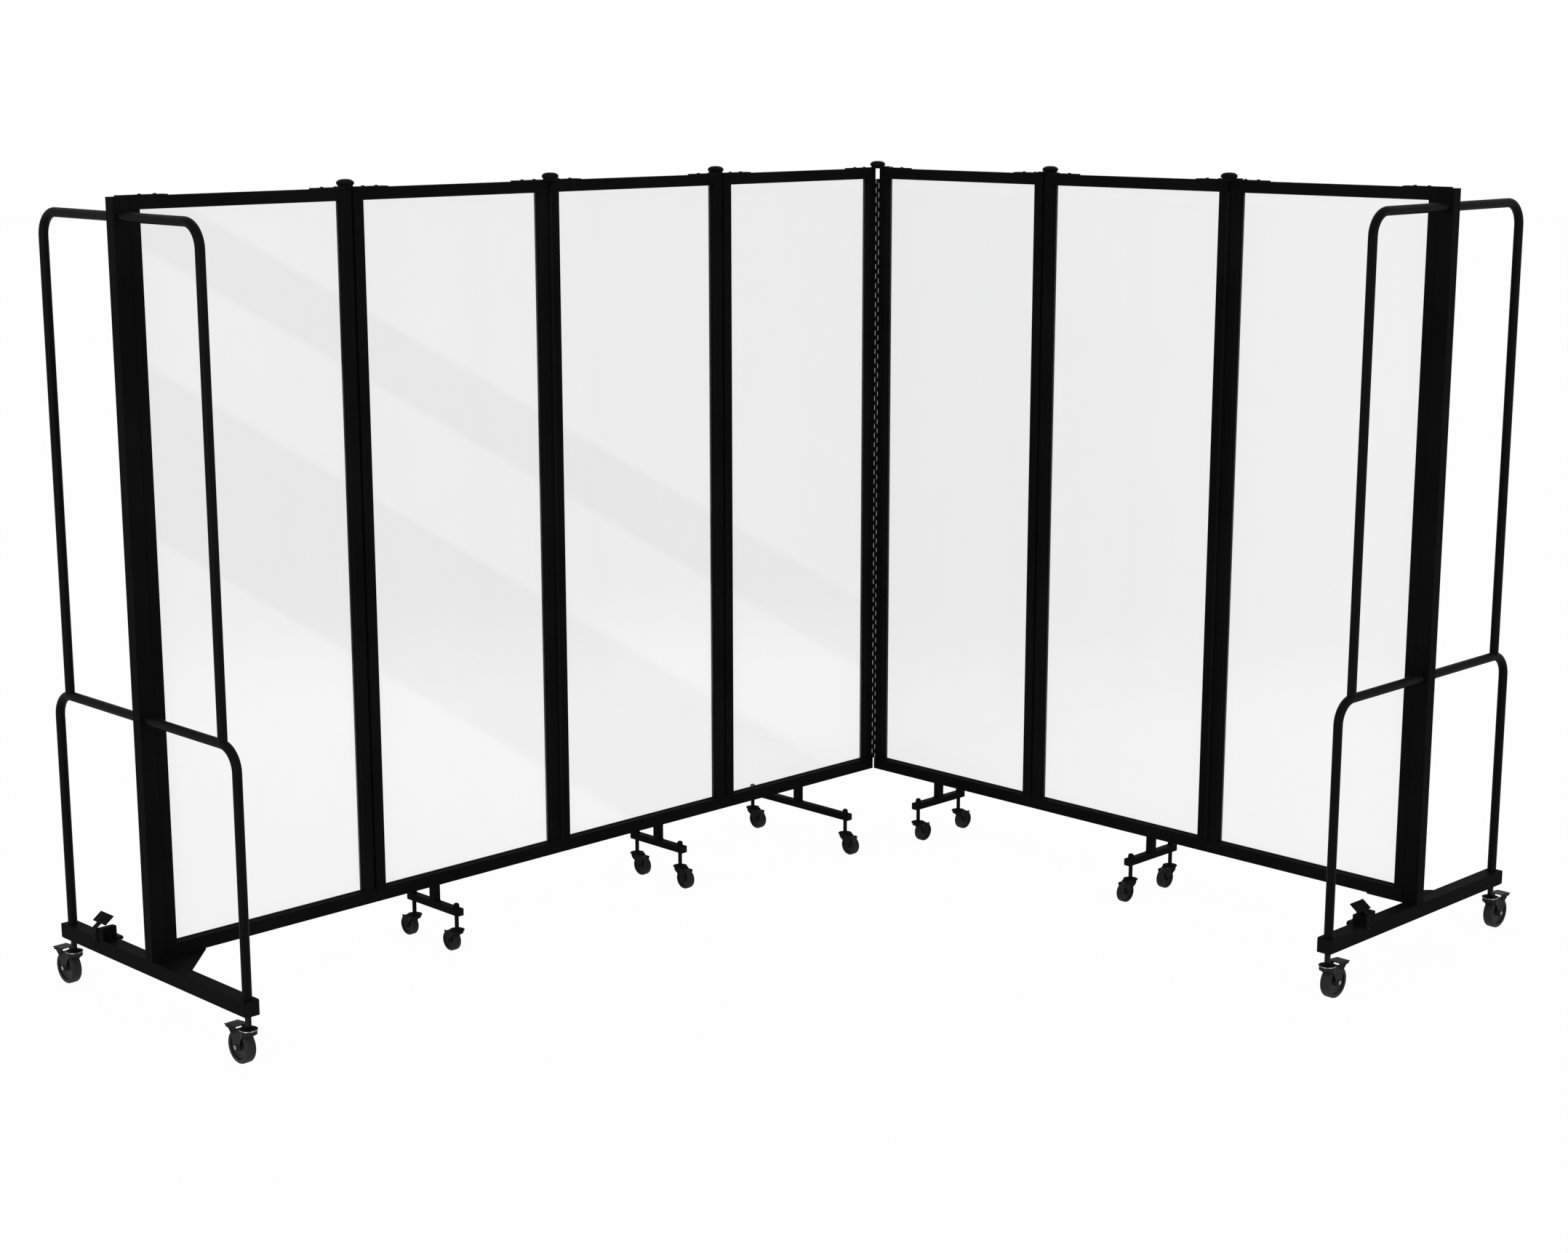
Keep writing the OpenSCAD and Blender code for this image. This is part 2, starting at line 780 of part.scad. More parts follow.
// A castor's stem: the thread into the foot, the fixed upper race and the rivet under the fork
module castor_stem(k) {
    top = head_top(k);
    r = stem_r[k];
    spigot = r * 0.8;
    head = race_r[k];
    race = top + race_clearance;
    h = race_height[k];
    under = top - cheek[k] - race_clearance;
    stem_top = k == BIG ? foot_bottom + tube_wall : t_beam_top;
    nut = 7.15;
    rotate_extrude()
        polygon(concat(
            [
                [0, under - rivet_height],
                [spigot + 1.5, under - rivet_height],
                [spigot + 1.5, under],
                [spigot, under],
                [spigot, race],
                [head, race],
                [head, race + h * 0.4],
                [head * 0.82, race + h * 0.46],
                [head * 0.8, race + h * 0.66],
                [head * 0.5, race + h],
                [r, race + h + 1.5],
                [r, stem_top]
            ],
            k == BIG ? [] : [[nut, stem_top], [nut, stem_top + 7], [nut * 0.8, stem_top + 10],
                             [nut * 0.4, stem_top + 11.5]],
            [[0, k == BIG ? stem_top : stem_top + 11.7]]
        ));
}

// A fork's outline from above: round about the stem and straight along the cheeks
module fork_plan(k, inset) {
    circle(r = cheek_out(k) + 3 - inset);
    translate([-cheek_out(k) + inset, 0])
        square([2 * (cheek_out(k) - inset), trail[k] + wheel_r[k]]);
}

// A fork seen from the side: y back along the trail, z up, with its front arched over the wheel
module fork_side(k) {
    top = head_top(k);
    a = wheel_r[k];
    y = trail[k];
    front = -cheek_out(k) - 4;
    arch = y - a * 0.3 - front;
    difference() {
        polygon([
            [front, top],
            [front, a],
            [y - a * 0.3, a * 0.94],
            [y - a * 0.14, a * 0.76],
            [y + a * 0.12, a * 0.76],
            [y + a * 0.3, a * 0.95],
            [y + a * 0.45, top - a * 0.5],
            [y + a * 0.55, top - a * 0.16],
            [y + a * 0.5, top - 2 * cheek[k]],
            [race_r[k], top - 2 * cheek[k]],
            [race_r[k], top]
        ]);
        translate([front, top - a * 0.23 - arch])
            circle(r = arch);
    }
}

// The fork with the axle bolt through its cheeks, trailing towards +y
module fork(k) {
    top = head_top(k);
    bolt_head = axle_r[k] * 1.5;
    bolt_out = cheek_out(k) + axle_r[k] * 0.6;
    difference() {
        intersection() {
            linear_extrude(top)
                fork_plan(k, 0);
            rotate([90, 0, 90])
                linear_extrude(4 * wheel_w[k], center = true)
                    fork_side(k);
        }
        translate([0, 0, -cut])
            linear_extrude(top - cheek[k] + cut) {
                fork_plan(k, cheek[k]);
                translate([-cheek_out(k) + cheek[k], 0])
                    square([2 * (cheek_out(k) - cheek[k]), 4 * wheel_r[k]]);
            }
        translate([0, 0, top - 2 * cheek[k]])
            cylinder(r = stem_r[k] * 0.8 + running_clearance, h = 4 * cheek[k]);
        along_axle(k)
            cylinder(r = axle_r[k] + running_clearance, h = 4 * wheel_w[k], center = true);
    }
    along_axle(k) {
        cylinder(r = axle_r[k], h = 2 * bolt_out, center = true);
        for (side = [0, 1])
            mirror([0, 0, side])
                translate([0, 0, cheek_out(k) + running_clearance])
                    cylinder(r = bolt_head, h = bolt_out - cheek_out(k) - running_clearance);
    }
}

module along_axle(k) {
    translate([0, trail[k], wheel_r[k]])
        rotate([0, 90, 0])
            children();
}

// The wheel: a crowned tread round a dished web and a hub
module wheel(k) {
    r = wheel_r[k];
    w = wheel_w[k] / 2;
    c = w * 0.32;
    bore = axle_r[k] + running_clearance;
    hub = axle_r[k] + 4;
    along_axle(k)
        rotate_extrude()
            polygon([
                [bore, -w], [hub, -w], [hub, -w * 0.62], [r * 0.64, -w * 0.5], [r * 0.72, -w * 0.95],
                [r - c, -w], [r - c * 0.35, -w + c * 0.25], [r - c * 0.06, -w + c],
                [r, 0],
                [r - c * 0.06, w - c], [r - c * 0.35, w - c * 0.25], [r - c, w],
                [r * 0.72, w * 0.95], [r * 0.64, w * 0.5], [hub, w * 0.62], [hub, w], [bore, w]
            ]);
}

// The brake pedal: a plate over the cheeks, two ears on its pivot and a shoe over the tread
module brake_pedal() {
    k = BIG;
    top = head_top(k);
    inner = cheek_out(k) + race_clearance;
    outer = inner + 1.5;
    near = race_r[k] + 4;
    plate = 1.8;
    slope = -6;
    ear_start = near + 1;
    ear_end = pedal_reach - 5;
    plate_bottom = top + 3.5;
    ear_top = plate_bottom + plate / 2;
    pivot_y = big_trail + 12;
    pivot_z = top - 9;
    difference() {
        union() {
            translate([0, near, plate_bottom])
                rotate([slope, 0, 0])
                    box([-outer, 0, 0], [outer, pedal_reach - near, plate]);
            for (side = [0, 1])
                mirror([side, 0, 0])
                    translate([inner, 0, 0])
                        rotate([90, 0, 90])
                            linear_extrude(outer - inner)
                                polygon([
                                    [ear_start, ear_top + (ear_start - near) * tan(slope)],
                                    [ear_start, top - 1],
                                    [pivot_y - 5, pivot_z - 4],
                                    [pivot_y + 4, pivot_z - 4],
                                    [pivot_y + 14, top - 4],
                                    [ear_end, top - 1 + (ear_end - near) * tan(slope)],
                                    [ear_end, ear_top + (ear_end - near) * tan(slope)]
                                ]);
        }
        translate([0, pivot_y, pivot_z])
            rotate([0, 90, 0])
                cylinder(r = 2 + running_clearance, h = 4 * big_wheel_w, center = true);
    }
}

module at_castor(i, s) {
    panel_frame(i)
        translate([castor_x(i), castor_y(i, s), 0])
            rotate([0, 0, TRAIL_TURN[i - 1]])
                children();
}

module fork_node(i, s) {
    color("#202020")
        at_castor(i, s)
            fork(is_end(i) ? BIG : SMALL);
}

module wheel_node(i, s) {
    color("#262626")
        at_castor(i, s)
            wheel(is_end(i) ? BIG : SMALL);
}

module brake_pedal_node(i, s) {
    color("#141414")
        at_castor(i, s)
            brake_pedal();
}

for (i = [1:PANELS]) {
    panel_frame_node(i);
    panel_pane_node(i);
    panel_hinges_node(i);
    for (s = ["front", "back"]) {
        fork_node(i, s);
        wheel_node(i, s);
        if (is_end(i))
            brake_pedal_node(i, s);
    }
}
for (e = ["left", "right"]) {
    end_frame_node(e);
    guard_loops_node(e);
    latch_lever_node(e);
}
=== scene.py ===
"""Looks of a portable room divider: clear panels in black frames, folded open into an L."""

import json
import logging
import math
from dataclasses import dataclass
from enum import Enum
from typing import Any, Iterable, Sequence, Union

import bmesh
import bpy
from mathutils import Matrix, Vector


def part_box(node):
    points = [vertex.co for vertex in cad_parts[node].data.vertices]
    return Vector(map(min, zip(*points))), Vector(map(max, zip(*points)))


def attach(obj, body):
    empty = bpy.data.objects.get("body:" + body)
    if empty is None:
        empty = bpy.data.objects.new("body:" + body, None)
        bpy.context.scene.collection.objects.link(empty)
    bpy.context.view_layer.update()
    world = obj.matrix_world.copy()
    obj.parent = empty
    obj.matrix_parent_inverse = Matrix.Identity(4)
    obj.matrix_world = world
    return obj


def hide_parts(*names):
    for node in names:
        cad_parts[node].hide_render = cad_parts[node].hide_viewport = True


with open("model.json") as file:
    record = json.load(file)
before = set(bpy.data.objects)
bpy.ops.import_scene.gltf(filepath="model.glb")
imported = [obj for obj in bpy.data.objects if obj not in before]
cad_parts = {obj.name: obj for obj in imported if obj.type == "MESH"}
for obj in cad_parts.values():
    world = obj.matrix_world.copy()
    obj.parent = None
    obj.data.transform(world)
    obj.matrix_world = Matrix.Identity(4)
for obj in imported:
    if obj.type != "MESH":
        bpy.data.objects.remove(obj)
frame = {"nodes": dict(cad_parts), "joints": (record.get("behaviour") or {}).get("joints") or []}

LOG = logging.getLogger("room_divider")
PHOTO_WIDTH = 2156
SENSOR_WIDTH = 36.0
PANELS = 7
LEFT_PANELS = 4
SHARP_DEGREES = 35.0
MERGE_DISTANCE = 1e-7
Point = tuple[float, float, float]
Profile = Sequence[tuple[float, float]]


class End(Enum):
    """The two ends of the folded row."""

    LEFT = "left"
    RIGHT = "right"


class Side(Enum):
    """The two castors of a foot."""

    FRONT = "front"
    BACK = "back"


class Value:
    """A shader socket that adds Math nodes when it is used in an expression."""

    def __init__(self, tree: "ShaderTree", socket: bpy.types.NodeSocket) -> None:
        """Wraps a socket of a tree."""
        self.tree = tree
        self.socket = socket

    def _math(self, operation: str, *terms: Union["Value", float]) -> "Value":
        """Adds one Math node.

        Args:
            operation: the Math node's operation.
            terms: its inputs in order.

        Returns:
            The node's result.
        """
        settings = {"operation": operation}
        node = self.tree.node("ShaderNodeMath", settings, dict(enumerate(terms)))
        return Value(self.tree, node.outputs[0])

    def __add__(self, other: Union["Value", float]) -> "Value":
        """Sum."""
        return self._math("ADD", self, other)

    def __radd__(self, other: float) -> "Value":
        """Sum with a number first."""
        return self._math("ADD", other, self)

    def __sub__(self, other: Union["Value", float]) -> "Value":
        """Difference."""
        return self._math("SUBTRACT", self, other)

    def __rsub__(self, other: float) -> "Value":
        """Difference with a number first."""
        return self._math("SUBTRACT", other, self)

    def __mul__(self, other: Union["Value", float]) -> "Value":
        """Product."""
        return self._math("MULTIPLY", self, other)

    def __rmul__(self, other: float) -> "Value":
        """Product with a number first."""
        return self._math("MULTIPLY", other, self)

    def __truediv__(self, other: Union["Value", float]) -> "Value":
        """Quotient."""
        return self._math("DIVIDE", self, other)

    def limit(self, low: float, high: float) -> "Value":
        """Keeps the value between two numbers."""
        return self._math("MINIMUM", self._math("MAXIMUM", self, low), high)

    def step(self, low: float, high: float) -> "Value":
        """Rises smoothly from 0 to 1.

        Args:
            low: where the rise starts.
            high: where it ends.

        Returns:
            The share risen.
        """
        settings = {"interpolation_type": "SMOOTHSTEP"}
        inputs = {"Value": self, "From Min": low, "From Max": high}
        node = self.tree.node("ShaderNodeMapRange", settings, inputs)
        return Value(self.tree, node.outputs["Result"])


class ShaderTree:
    """A material's or the world's nodes, made one call at a time."""

    def __init__(self, owner: Union[bpy.types.Material, bpy.types.World]) -> None:
        """Empties the owner's node tree and works in it.

        Args:
            owner: the material or the world that has the tree.
        """
        owner.use_nodes = True
        self.nodes = owner.node_tree.nodes
        self.links = owner.node_tree.links
        self.nodes.clear()

    def node(self, kind: str, settings: dict[str, Any], inputs: dict[Any, Any]) -> bpy.types.Node:
        """Adds a node.

        Args:
            kind: the node's type.
            settings: its properties, set before its inputs.
            inputs: values or links for its sockets, by name or number.

        Returns:
            The new node.
        """
        node = self.nodes.new(kind)
        for name, value in settings.items():
            setattr(node, name, value)
        for key, value in inputs.items():
            given = value.socket if isinstance(value, Value) else value
            if isinstance(given, bpy.types.NodeSocket):
                self.links.new(given, node.inputs[key])
            else:
                node.inputs[key].default_value = given
        return node

    def object_point(self, scale: Point = (1.0, 1.0, 1.0)) -> bpy.types.NodeSocket:
        """Gives Object coordinates, scaled by a Mapping node.

        Args:
            scale: the factor along each axis.

        Returns:
            The vector.
        """
        coordinates = self.node("ShaderNodeTexCoord", {}, {})
        inputs = {"Vector": coordinates.outputs["Object"], "Scale": scale}
        return self.node("ShaderNodeMapping", {}, inputs).outputs["Vector"]

    def noise(self, point: Any, scale: float, detail: float = 2.0) -> Value:
        """Gives a noise from 0 to 1.

        Args:
            point: the vector that it reads.
            scale: features per metre.
            detail: octaves.

        Returns:
            The noise's value.
        """
        inputs = {"Vector": point, "Scale": scale, "Detail": detail}
        return Value(self, self.node("ShaderNodeTexNoise", {}, inputs).outputs[0])

    def axes(self, point: Any) -> tuple[Value, Value, Value]:
        """Splits a vector into its three values."""
        node = self.node("ShaderNodeSeparateXYZ", {}, {"Vector": point})
        return tuple(Value(self, output) for output in node.outputs)

    def mix(self, factor: Union[Value, float], first: Any, second: Any) -> bpy.types.NodeSocket:
        """Mixes two colours."""
        inputs = {0: factor, 6: first, 7: second}
        return self.node("ShaderNodeMix", {"data_type": "RGBA"}, inputs).outputs[2]

    def surface(self, inputs: dict[str, Any]) -> None:
        """Ends the material in a Principled BSDF with the given sockets."""
        shader = self.node("ShaderNodeBsdfPrincipled", {}, inputs)
        self.node("ShaderNodeOutputMaterial", {}, {"Surface": shader.outputs[0]})


def grey(level: float, tint: Point = (1.0, 1.0, 1.0)) -> tuple[float, float, float, float]:
    """Gives a grey of a linear level with a tint, as a colour with alpha."""
    return (level * tint[0], level * tint[1], level * tint[2], 1.0)


@dataclass(frozen=True)
class PowderCoat:
    """Black powder coat on steel: fine orange peel, clouded gloss and softly rounded edges,
    lightened by a painted highlight.
    """

    name: str
    level: float
    # Grey of the painted highlight along the edges.
    edge_highlight_level: float
    roughness: float
    specular: float
    peel_scale: float = 1100.0
    peel_depth: float = 0.00003
    edge_radius: float = 0.0009
    edge_turn: tuple[float, float] = (0.01, 0.2)
    cloud_scale: float = 5.0
    grain_scale: float = 90.0
    shade_spread: float = 0.2

    def material(self) -> bpy.types.Material:
        """Builds the material.

        Returns:
            The material with its nodes.
        """
        made = bpy.data.materials.new(self.name)
        tree = ShaderTree(made)
        point = tree.object_point()
        cloud = tree.noise(point, self.cloud_scale, 3.0)
        peel = tree.noise(point, self.peel_scale, 1.0)
        grain = tree.noise(point, self.grain_scale, 3.0)
        rounded = tree.node("ShaderNodeBevel", {"samples": 4}, {"Radius": self.edge_radius})
        plain = tree.node("ShaderNodeNewGeometry", {}, {})
        vectors = {0: rounded.outputs[0], 1: plain.outputs["Normal"]}
        facing = tree.node("ShaderNodeVectorMath", {"operation": "DOT_PRODUCT"}, vectors)
        # Painted highlight: the mask is 1 where the rounded Bevel normal turns from the plain
        # normal, along the edges.
        edge = (1.0 - Value(tree, facing.outputs["Value"])).step(*self.edge_turn)
        dark = grey(self.level * (1.0 - self.shade_spread))
        light = grey(self.level * (1.0 + self.shade_spread))
        coat = tree.mix(cloud.step(0.3, 0.7), dark, light)
        inputs = {"Height": peel, "Distance": self.peel_depth, "Normal": rounded.outputs[0]}
        bump = tree.node("ShaderNodeBump", {}, inputs)
        matt = self.roughness + 0.12 * (grain - 0.5) + 0.08 * (cloud - 0.5)
        tree.surface({
            "Base Color": tree.mix(edge, coat, grey(self.edge_highlight_level)),
            "Roughness": matt.limit(0.1, 0.95),
            "Specular IOR Level": self.specular,
            "Normal": bump.outputs[0],
        })
        return made


@dataclass(frozen=True)
class ClearSheet:
    """Clear acrylic sheet: a soft grey, with painted reflections that lighten it towards the foot
    and cross it in broad slanting bands.

    A band of painted reflection darkens the sheet between two lines that fan out slightly. Each
    line is named by its height where it crosses the middle of the wing, so a band is a pair of
    heights.
    """

    name: str
    axis: int
    level: float
    # Painted reflection: drift shifts the level along the wing, and the next fields place and size
    # the painted lightening of the foot below a tilted line.
    drift: float
    rise_height: float
    rise_tilt: float
    # Painted reflection bands, each a pair of heights, and how much they darken the sheet.
    reflection_bands: tuple[tuple[float, float], ...] = ()
    reflection_band_depth: float = 0.26
    rise: float = 0.24
    rise_half: float = 0.17
    slant: float = 0.696
    fan: float = 0.132
    edge: float = 0.014
    alpha: float = 0.12
    cloud_scale: float = 1.6
    cloud_depth: float = 0.1
    # Painted highlight: how much the glare lightens the foot, and where it starts.
    foot_glare: float = 0.13
    glare_start: float = -0.7
    blue: float = 0.012
    smear_scale: float = 40.0

    def material(self) -> bpy.types.Material:
        """Builds the material.

        Returns:
            The material with its nodes.
        """
        made = bpy.data.materials.new(self.name)
        tree = ShaderTree(made)
        point = tree.object_point()
        axes = tree.axes(point)
        along, z = axes[self.axis], axes[2]
        # Painted reflection: the foot below a tilted line is lightened, and the level drifts along
        # the wing; the cloud is the sheet's random tone.
        lift = z - along * self.rise_tilt
        foot = 1.0 - lift.step(self.rise_height - self.rise_half, self.rise_height + self.rise_half)
        cloud = tree.noise(point, self.cloud_scale, 1.0) - 0.5
        level = self.level + along * self.drift + foot * self.rise + cloud * self.cloud_depth
        crossing = (z + along * self.slant) / (along * self.fan + 1.0)
        # Painted reflection: each band darkens the level between its two lines.
        for low, high in self.reflection_bands:
            above_low = crossing.step(low - self.edge, low + self.edge)
            above_high = crossing.step(high - self.edge, high + self.edge)
            level = level - (above_low - above_high) * self.reflection_band_depth
        # Painted highlight: glare lightens the foot, fading in from glare_start towards the first
        # band.
        if self.reflection_bands:
            glare = foot * crossing.step(self.glare_start, self.reflection_bands[0][0])
            level = level + glare * self.foot_glare
        channels = {"Red": level, "Green": level, "Blue": level + self.blue}
        tone = tree.node("ShaderNodeCombineColor", {}, channels)
        smear = tree.noise(tree.object_point((1.0, 1.0, 0.25)), self.smear_scale, 3.0)
        tree.surface({
            "Base Color": tone.outputs[0],
            "Roughness": 0.05 + 0.06 * smear,
            "Alpha": (self.alpha + 0.01 * (smear - 0.5)).limit(0.0, 1.0),
            "Specular IOR Level": 0.5,
        })
        return made


@dataclass(frozen=True)
class Zinc:
    """Bright zinc plate with a fine turned grain."""

    name: str
    level: float
    roughness: float
    mottle_scale: float = 260.0
    grain_scale: float = 420.0
    grain_depth: float = 0.00002

    def material(self) -> bpy.types.Material:
        """Builds the material.

        Returns:
            The material with its nodes.
        """
        made = bpy.data.materials.new(self.name)
        tree = ShaderTree(made)
        mottle = tree.noise(tree.object_point(), self.mottle_scale, 3.0)
        grain = tree.noise(tree.object_point((1.0, 1.0, 14.0)), self.grain_scale, 2.0)
        warm = grey(self.level * 0.85, (1.0, 0.99, 0.96))
        bump = tree.node("ShaderNodeBump", {}, {"Height": grain, "Distance": self.grain_depth})
        tree.surface({
            "Base Color": tree.mix(mottle, warm, grey(self.level * 1.1)),
            "Metallic": 1.0,
            "Roughness": (self.roughness + 0.2 * (grain - 0.5)).limit(0.08, 0.9),
            "Normal": bump.outputs[0],
        })
        return made


@dataclass(frozen=True)
class Moulding:
    """Dark moulded plastic or rubber with a fine matt grain and a little floor dust."""

    name: str
    level: float
    roughness: float
    specular: float
    dust: float
    dust_height: float = 0.03
    grain_scale: float = 900.0
    grain_depth: float = 0.00006
    patch_scale: float = 60.0
    dust_level: float = 0.16

    def material(self) -> bpy.types.Material:
        """Builds the material.

        Returns:
            The material with its nodes.
        """
        made = bpy.data.materials.new(self.name)
        tree = ShaderTree(made)
        point = tree.object_point()
        grain = tree.noise(point, self.grain_scale, 2.0)
        patch = tree.noise(point, self.patch_scale, 3.0)
        low = 1.0 - tree.axes(point)[2].step(0.0, self.dust_height)
        dusty = (low * patch.step(0.35, 0.75) * self.dust).limit(0.0, 1.0)
        body = tree.mix(patch, grey(self.level * 0.85), grey(self.level * 1.15))
        bump = tree.node("ShaderNodeBump", {}, {"Height": grain, "Distance": self.grain_depth})
        tree.surface({
            "Base Color": tree.mix(dusty, body, grey(self.dust_level, (1.0, 0.97, 0.93))),
            "Roughness": (self.roughness + 0.1 * (patch - 0.5) + 0.15 * dusty).limit(0.1, 1.0),
            "Specular IOR Level": self.specular,
            "Normal": bump.outputs[0],
        })
        return made


class Finishes:
    """Every material of the divider, made once."""

    def __init__(self) -> None:
        """Makes the materials."""
        # Each coat's second grey is the painted highlight along its edges.
        self.frame = PowderCoat(
            "black_powder_coat", level=0.0038, edge_highlight_level=0.01, roughness=0.55, specular=0.01,
        ).material()
        self.tube = PowderCoat(
            "tube_powder_coat", level=0.0032, edge_highlight_level=0.004, roughness=0.45, specular=0.03,
        ).material()
        self.hinge = PowderCoat(
            "hinge_black", level=0.004, edge_highlight_level=0.01, roughness=0.5, specular=0.02,
            edge_radius=0.0004,
        ).material()
        self.fork = PowderCoat(
            "stamped_black", level=0.013, edge_highlight_level=0.03, roughness=0.5, specular=0.05,
            edge_radius=0.0006,
        ).material()
        self.small_fork = PowderCoat(
            "small_stamped_black", level=0.007, edge_highlight_level=0.02, roughness=0.5, specular=0.03,
            edge_radius=0.0006,
        ).material()
        self.pedal = PowderCoat(
            "pedal_black", level=0.006, edge_highlight_level=0.02, roughness=0.45, specular=0.03,
            edge_radius=0.0004,
        ).material()
        # The two wings' sheets are one acrylic with different painted reflections: bands on the
        # left wing, and each wing's own foot lightening and drift.
        self.left_pane = ClearSheet(
            "left_acrylic", axis=0, level=0.43, drift=-0.01, rise_height=0.66, rise_tilt=-0.1,
            reflection_bands=((0.209, 0.65), (0.942, 1.113)),
        ).material()
        self.right_pane = ClearSheet(
            "right_acrylic", axis=1, level=0.41, drift=-0.138, rise_height=0.53, rise_tilt=-0.125,
        ).material()
        self.zinc = Zinc("bright_zinc", level=0.34, roughness=0.3).material()
        self.thread = Zinc("dull_zinc", level=0.03, roughness=0.35).material()
        self.tyre = self._moulding("tyre_rubber", 0.016, 0.6, 0.1, 0.15)
        self.core = self._moulding("wheel_core", 0.009, 0.45, 0.14, 0.06)
        self.small_tyre = self._moulding("small_tyre_rubber", 0.011, 0.6, 0.08, 0.15)
        self.small_core = self._moulding("small_wheel_core", 0.008, 0.5, 0.1, 0.06)
        self.plug = self._moulding("black_plug", 0.005, 0.6, 0.02, 0.0)
        self.gasket = self._moulding("pane_gasket", 0.007, 0.6, 0.06, 0.0)

    @staticmethod
    def _moulding(
        name: str, level: float, roughness: float, specular: float, dust: float,
    ) -> bpy.types.Material:
        """Makes a moulded finish from its grey level, roughness, specular level and dust."""
        return Moulding(name, level, roughness, specular, dust).material()


@dataclass(frozen=True)
class Layout:
    """Where the panels stand, read from the hinge joints of the frame."""

    corner: Vector
    pitch: float
    depth: float

    @classmethod
    def from_frame(cls) -> "Layout":
        """Works the layout out from the corner hinge and the next one on the left wing.

        Returns:
            The layout.
        """
        corner = joint_point("fold_4_5")
        inner = joint_point("fold_3_4")
        return cls(Vector((corner.x, corner.y, 0.0)), corner.x - inner.x, inner.y - corner.y)

    def panel_matrix(self, panel: int) -> Matrix:
        """Gives a panel's own frame: x from hinge to hinge, y from front to back.

        Args:
            panel: the panel's number from the left, from 1.

        Returns:
            The matrix from the panel's frame to the whole.
        """
        turn = 0.0 if panel <= LEFT_PANELS else -math.pi / 2
        along = Matrix.Translation(((panel - LEFT_PANELS - 1) * self.pitch, 0.0, 0.0))
        return Matrix.Translation(self.corner) @ Matrix.Rotation(turn, 4, "Z") @ along

    def end_matrix(self, end: End) -> Matrix:
        """Gives an end's frame: x inwards from the outermost hinge line, y across the foot.

        Args:
            end: which end.

        Returns:
            The matrix from the end's frame to the whole.
        """
        if end is End.LEFT:
            return self.panel_matrix(1)
        about = Matrix.Translation((self.pitch, self.depth, 0.0)) @ Matrix.Rotation(math.pi, 4, "Z")
        return self.panel_matrix(PANELS) @ about


def joint_of(name: str) -> dict[str, Any]:
    """Finds a joint in the frame by its name."""
    return next(joint for joint in frame["joints"] if joint["name"] == name)


def joint_point(name: str) -> Vector:
    """Gives a joint's place from the frame."""
    return Vector(joint_of(name)["pos_m"])


def joint_axis(name: str) -> Vector:
    """Gives a joint's axis from the frame."""
    return Vector(joint_of(name)["axis"]).normalized()


def circle_angles(segments: int) -> list[float]:
    """Gives evenly spaced angles round a circle."""
    return [2.0 * math.pi * k / segments for k in range(segments)]


def new_object(name: str, mesh: bpy.types.Mesh) -> bpy.types.Object:
    """Makes an object of a mesh and links it to the scene.

    Args:
        name: the object's name.
        mesh: its mesh.

    Returns:
        The object.
    """
    made = bpy.data.objects.new(name, mesh)
    bpy.context.scene.collection.objects.link(made)
    return made


def mesh_of(name: str, draft: bmesh.types.BMesh, smooth: bool = True) -> bpy.types.Mesh:
    """Ends a bmesh: merges it, turns its faces outwards and makes it a mesh.

    Args:
        name: the mesh's name.
        draft: the bmesh, which is freed.
        smooth: whether its faces are shaded smooth, apart from its sharp edges.

    Returns:
        The mesh.
    """
    bmesh.ops.remove_doubles(draft, verts=draft.verts, dist=MERGE_DISTANCE)
    bmesh.ops.recalc_face_normals(draft, faces=draft.faces)
    sharp = math.radians(SHARP_DEGREES)
    for face in draft.faces:
        face.smooth = smooth
    for edge in draft.edges:
        if len(edge.link_faces) == 2 and edge.calc_face_angle(0.0) > sharp:
            edge.smooth = False
    mesh = bpy.data.meshes.new(name)
    draft.to_mesh(mesh)
    draft.free()
    return mesh


def add_revolved(
    draft: bmesh.types.BMesh, profile: Profile, segments: int, place: Matrix, slot: int = 0,
) -> None:
    """Adds a profile turned about the z axis, closed at the axis or as a ring.

    Args:
        draft: the bmesh to add to.
        profile: radius and height of each point.
        segments: faces round the axis.
        place: matrix from the profile's frame to the object.
        slot: material slot of the faces.
    """
    rings = []
    for radius, height in profile:
        if radius < MERGE_DISTANCE:
            rings.append([draft.verts.new(place @ Vector((0.0, 0.0, height)))])
            continue
        rings.append([
            draft.verts.new(place @ Vector((radius * math.cos(a), radius * math.sin(a), height)))
            for a in circle_angles(segments)
        ])
    closed = len(rings[0]) > 1 and len(rings[-1]) > 1
    following = rings[1:] + ([rings[0]] if closed else [])
    for lower, upper in zip(rings, following):
        for k in range(segments):
            n = (k + 1) % segments
            corners = [
                lower[k % len(lower)], lower[n % len(lower)],
                upper[n % len(upper)], upper[k % len(upper)],
            ]
            unique = list(dict.fromkeys(corners))
            if len(unique) > 2:
                draft.faces.new(unique).material_index = slot


def add_block(
    draft: bmesh.types.BMesh, low: Vector, high: Vector, place: Matrix, bevel: float,
) -> None:
    """Adds a box between two corners, its edges bevelled.

    Args:
        draft: the bmesh to add to.
        low: the lowest corner.
        high: the highest corner.
        place: matrix from the box's frame to the object.
        bevel: width of the bevel.
    """
    made = bmesh.ops.create_cube(draft, size=1.0)["verts"]
    scale = Matrix.Diagonal((*(high - low), 1.0))
    matrix = place @ Matrix.Translation((low + high) / 2.0) @ scale
    bmesh.ops.transform(draft, matrix=matrix, verts=made)
    edges = list(dict.fromkeys(edge for vert in made for edge in vert.link_edges))
    bmesh.ops.bevel(draft, geom=edges, offset=bevel, segments=2, affect="EDGES", profile=0.5)


def aim(direction: Vector, at: Vector) -> Matrix:
    """Gives the matrix that stands +z along a direction at a point."""
    return Matrix.Translation(at) @ direction.to_track_quat("Z", "Y").to_matrix().to_4x4()


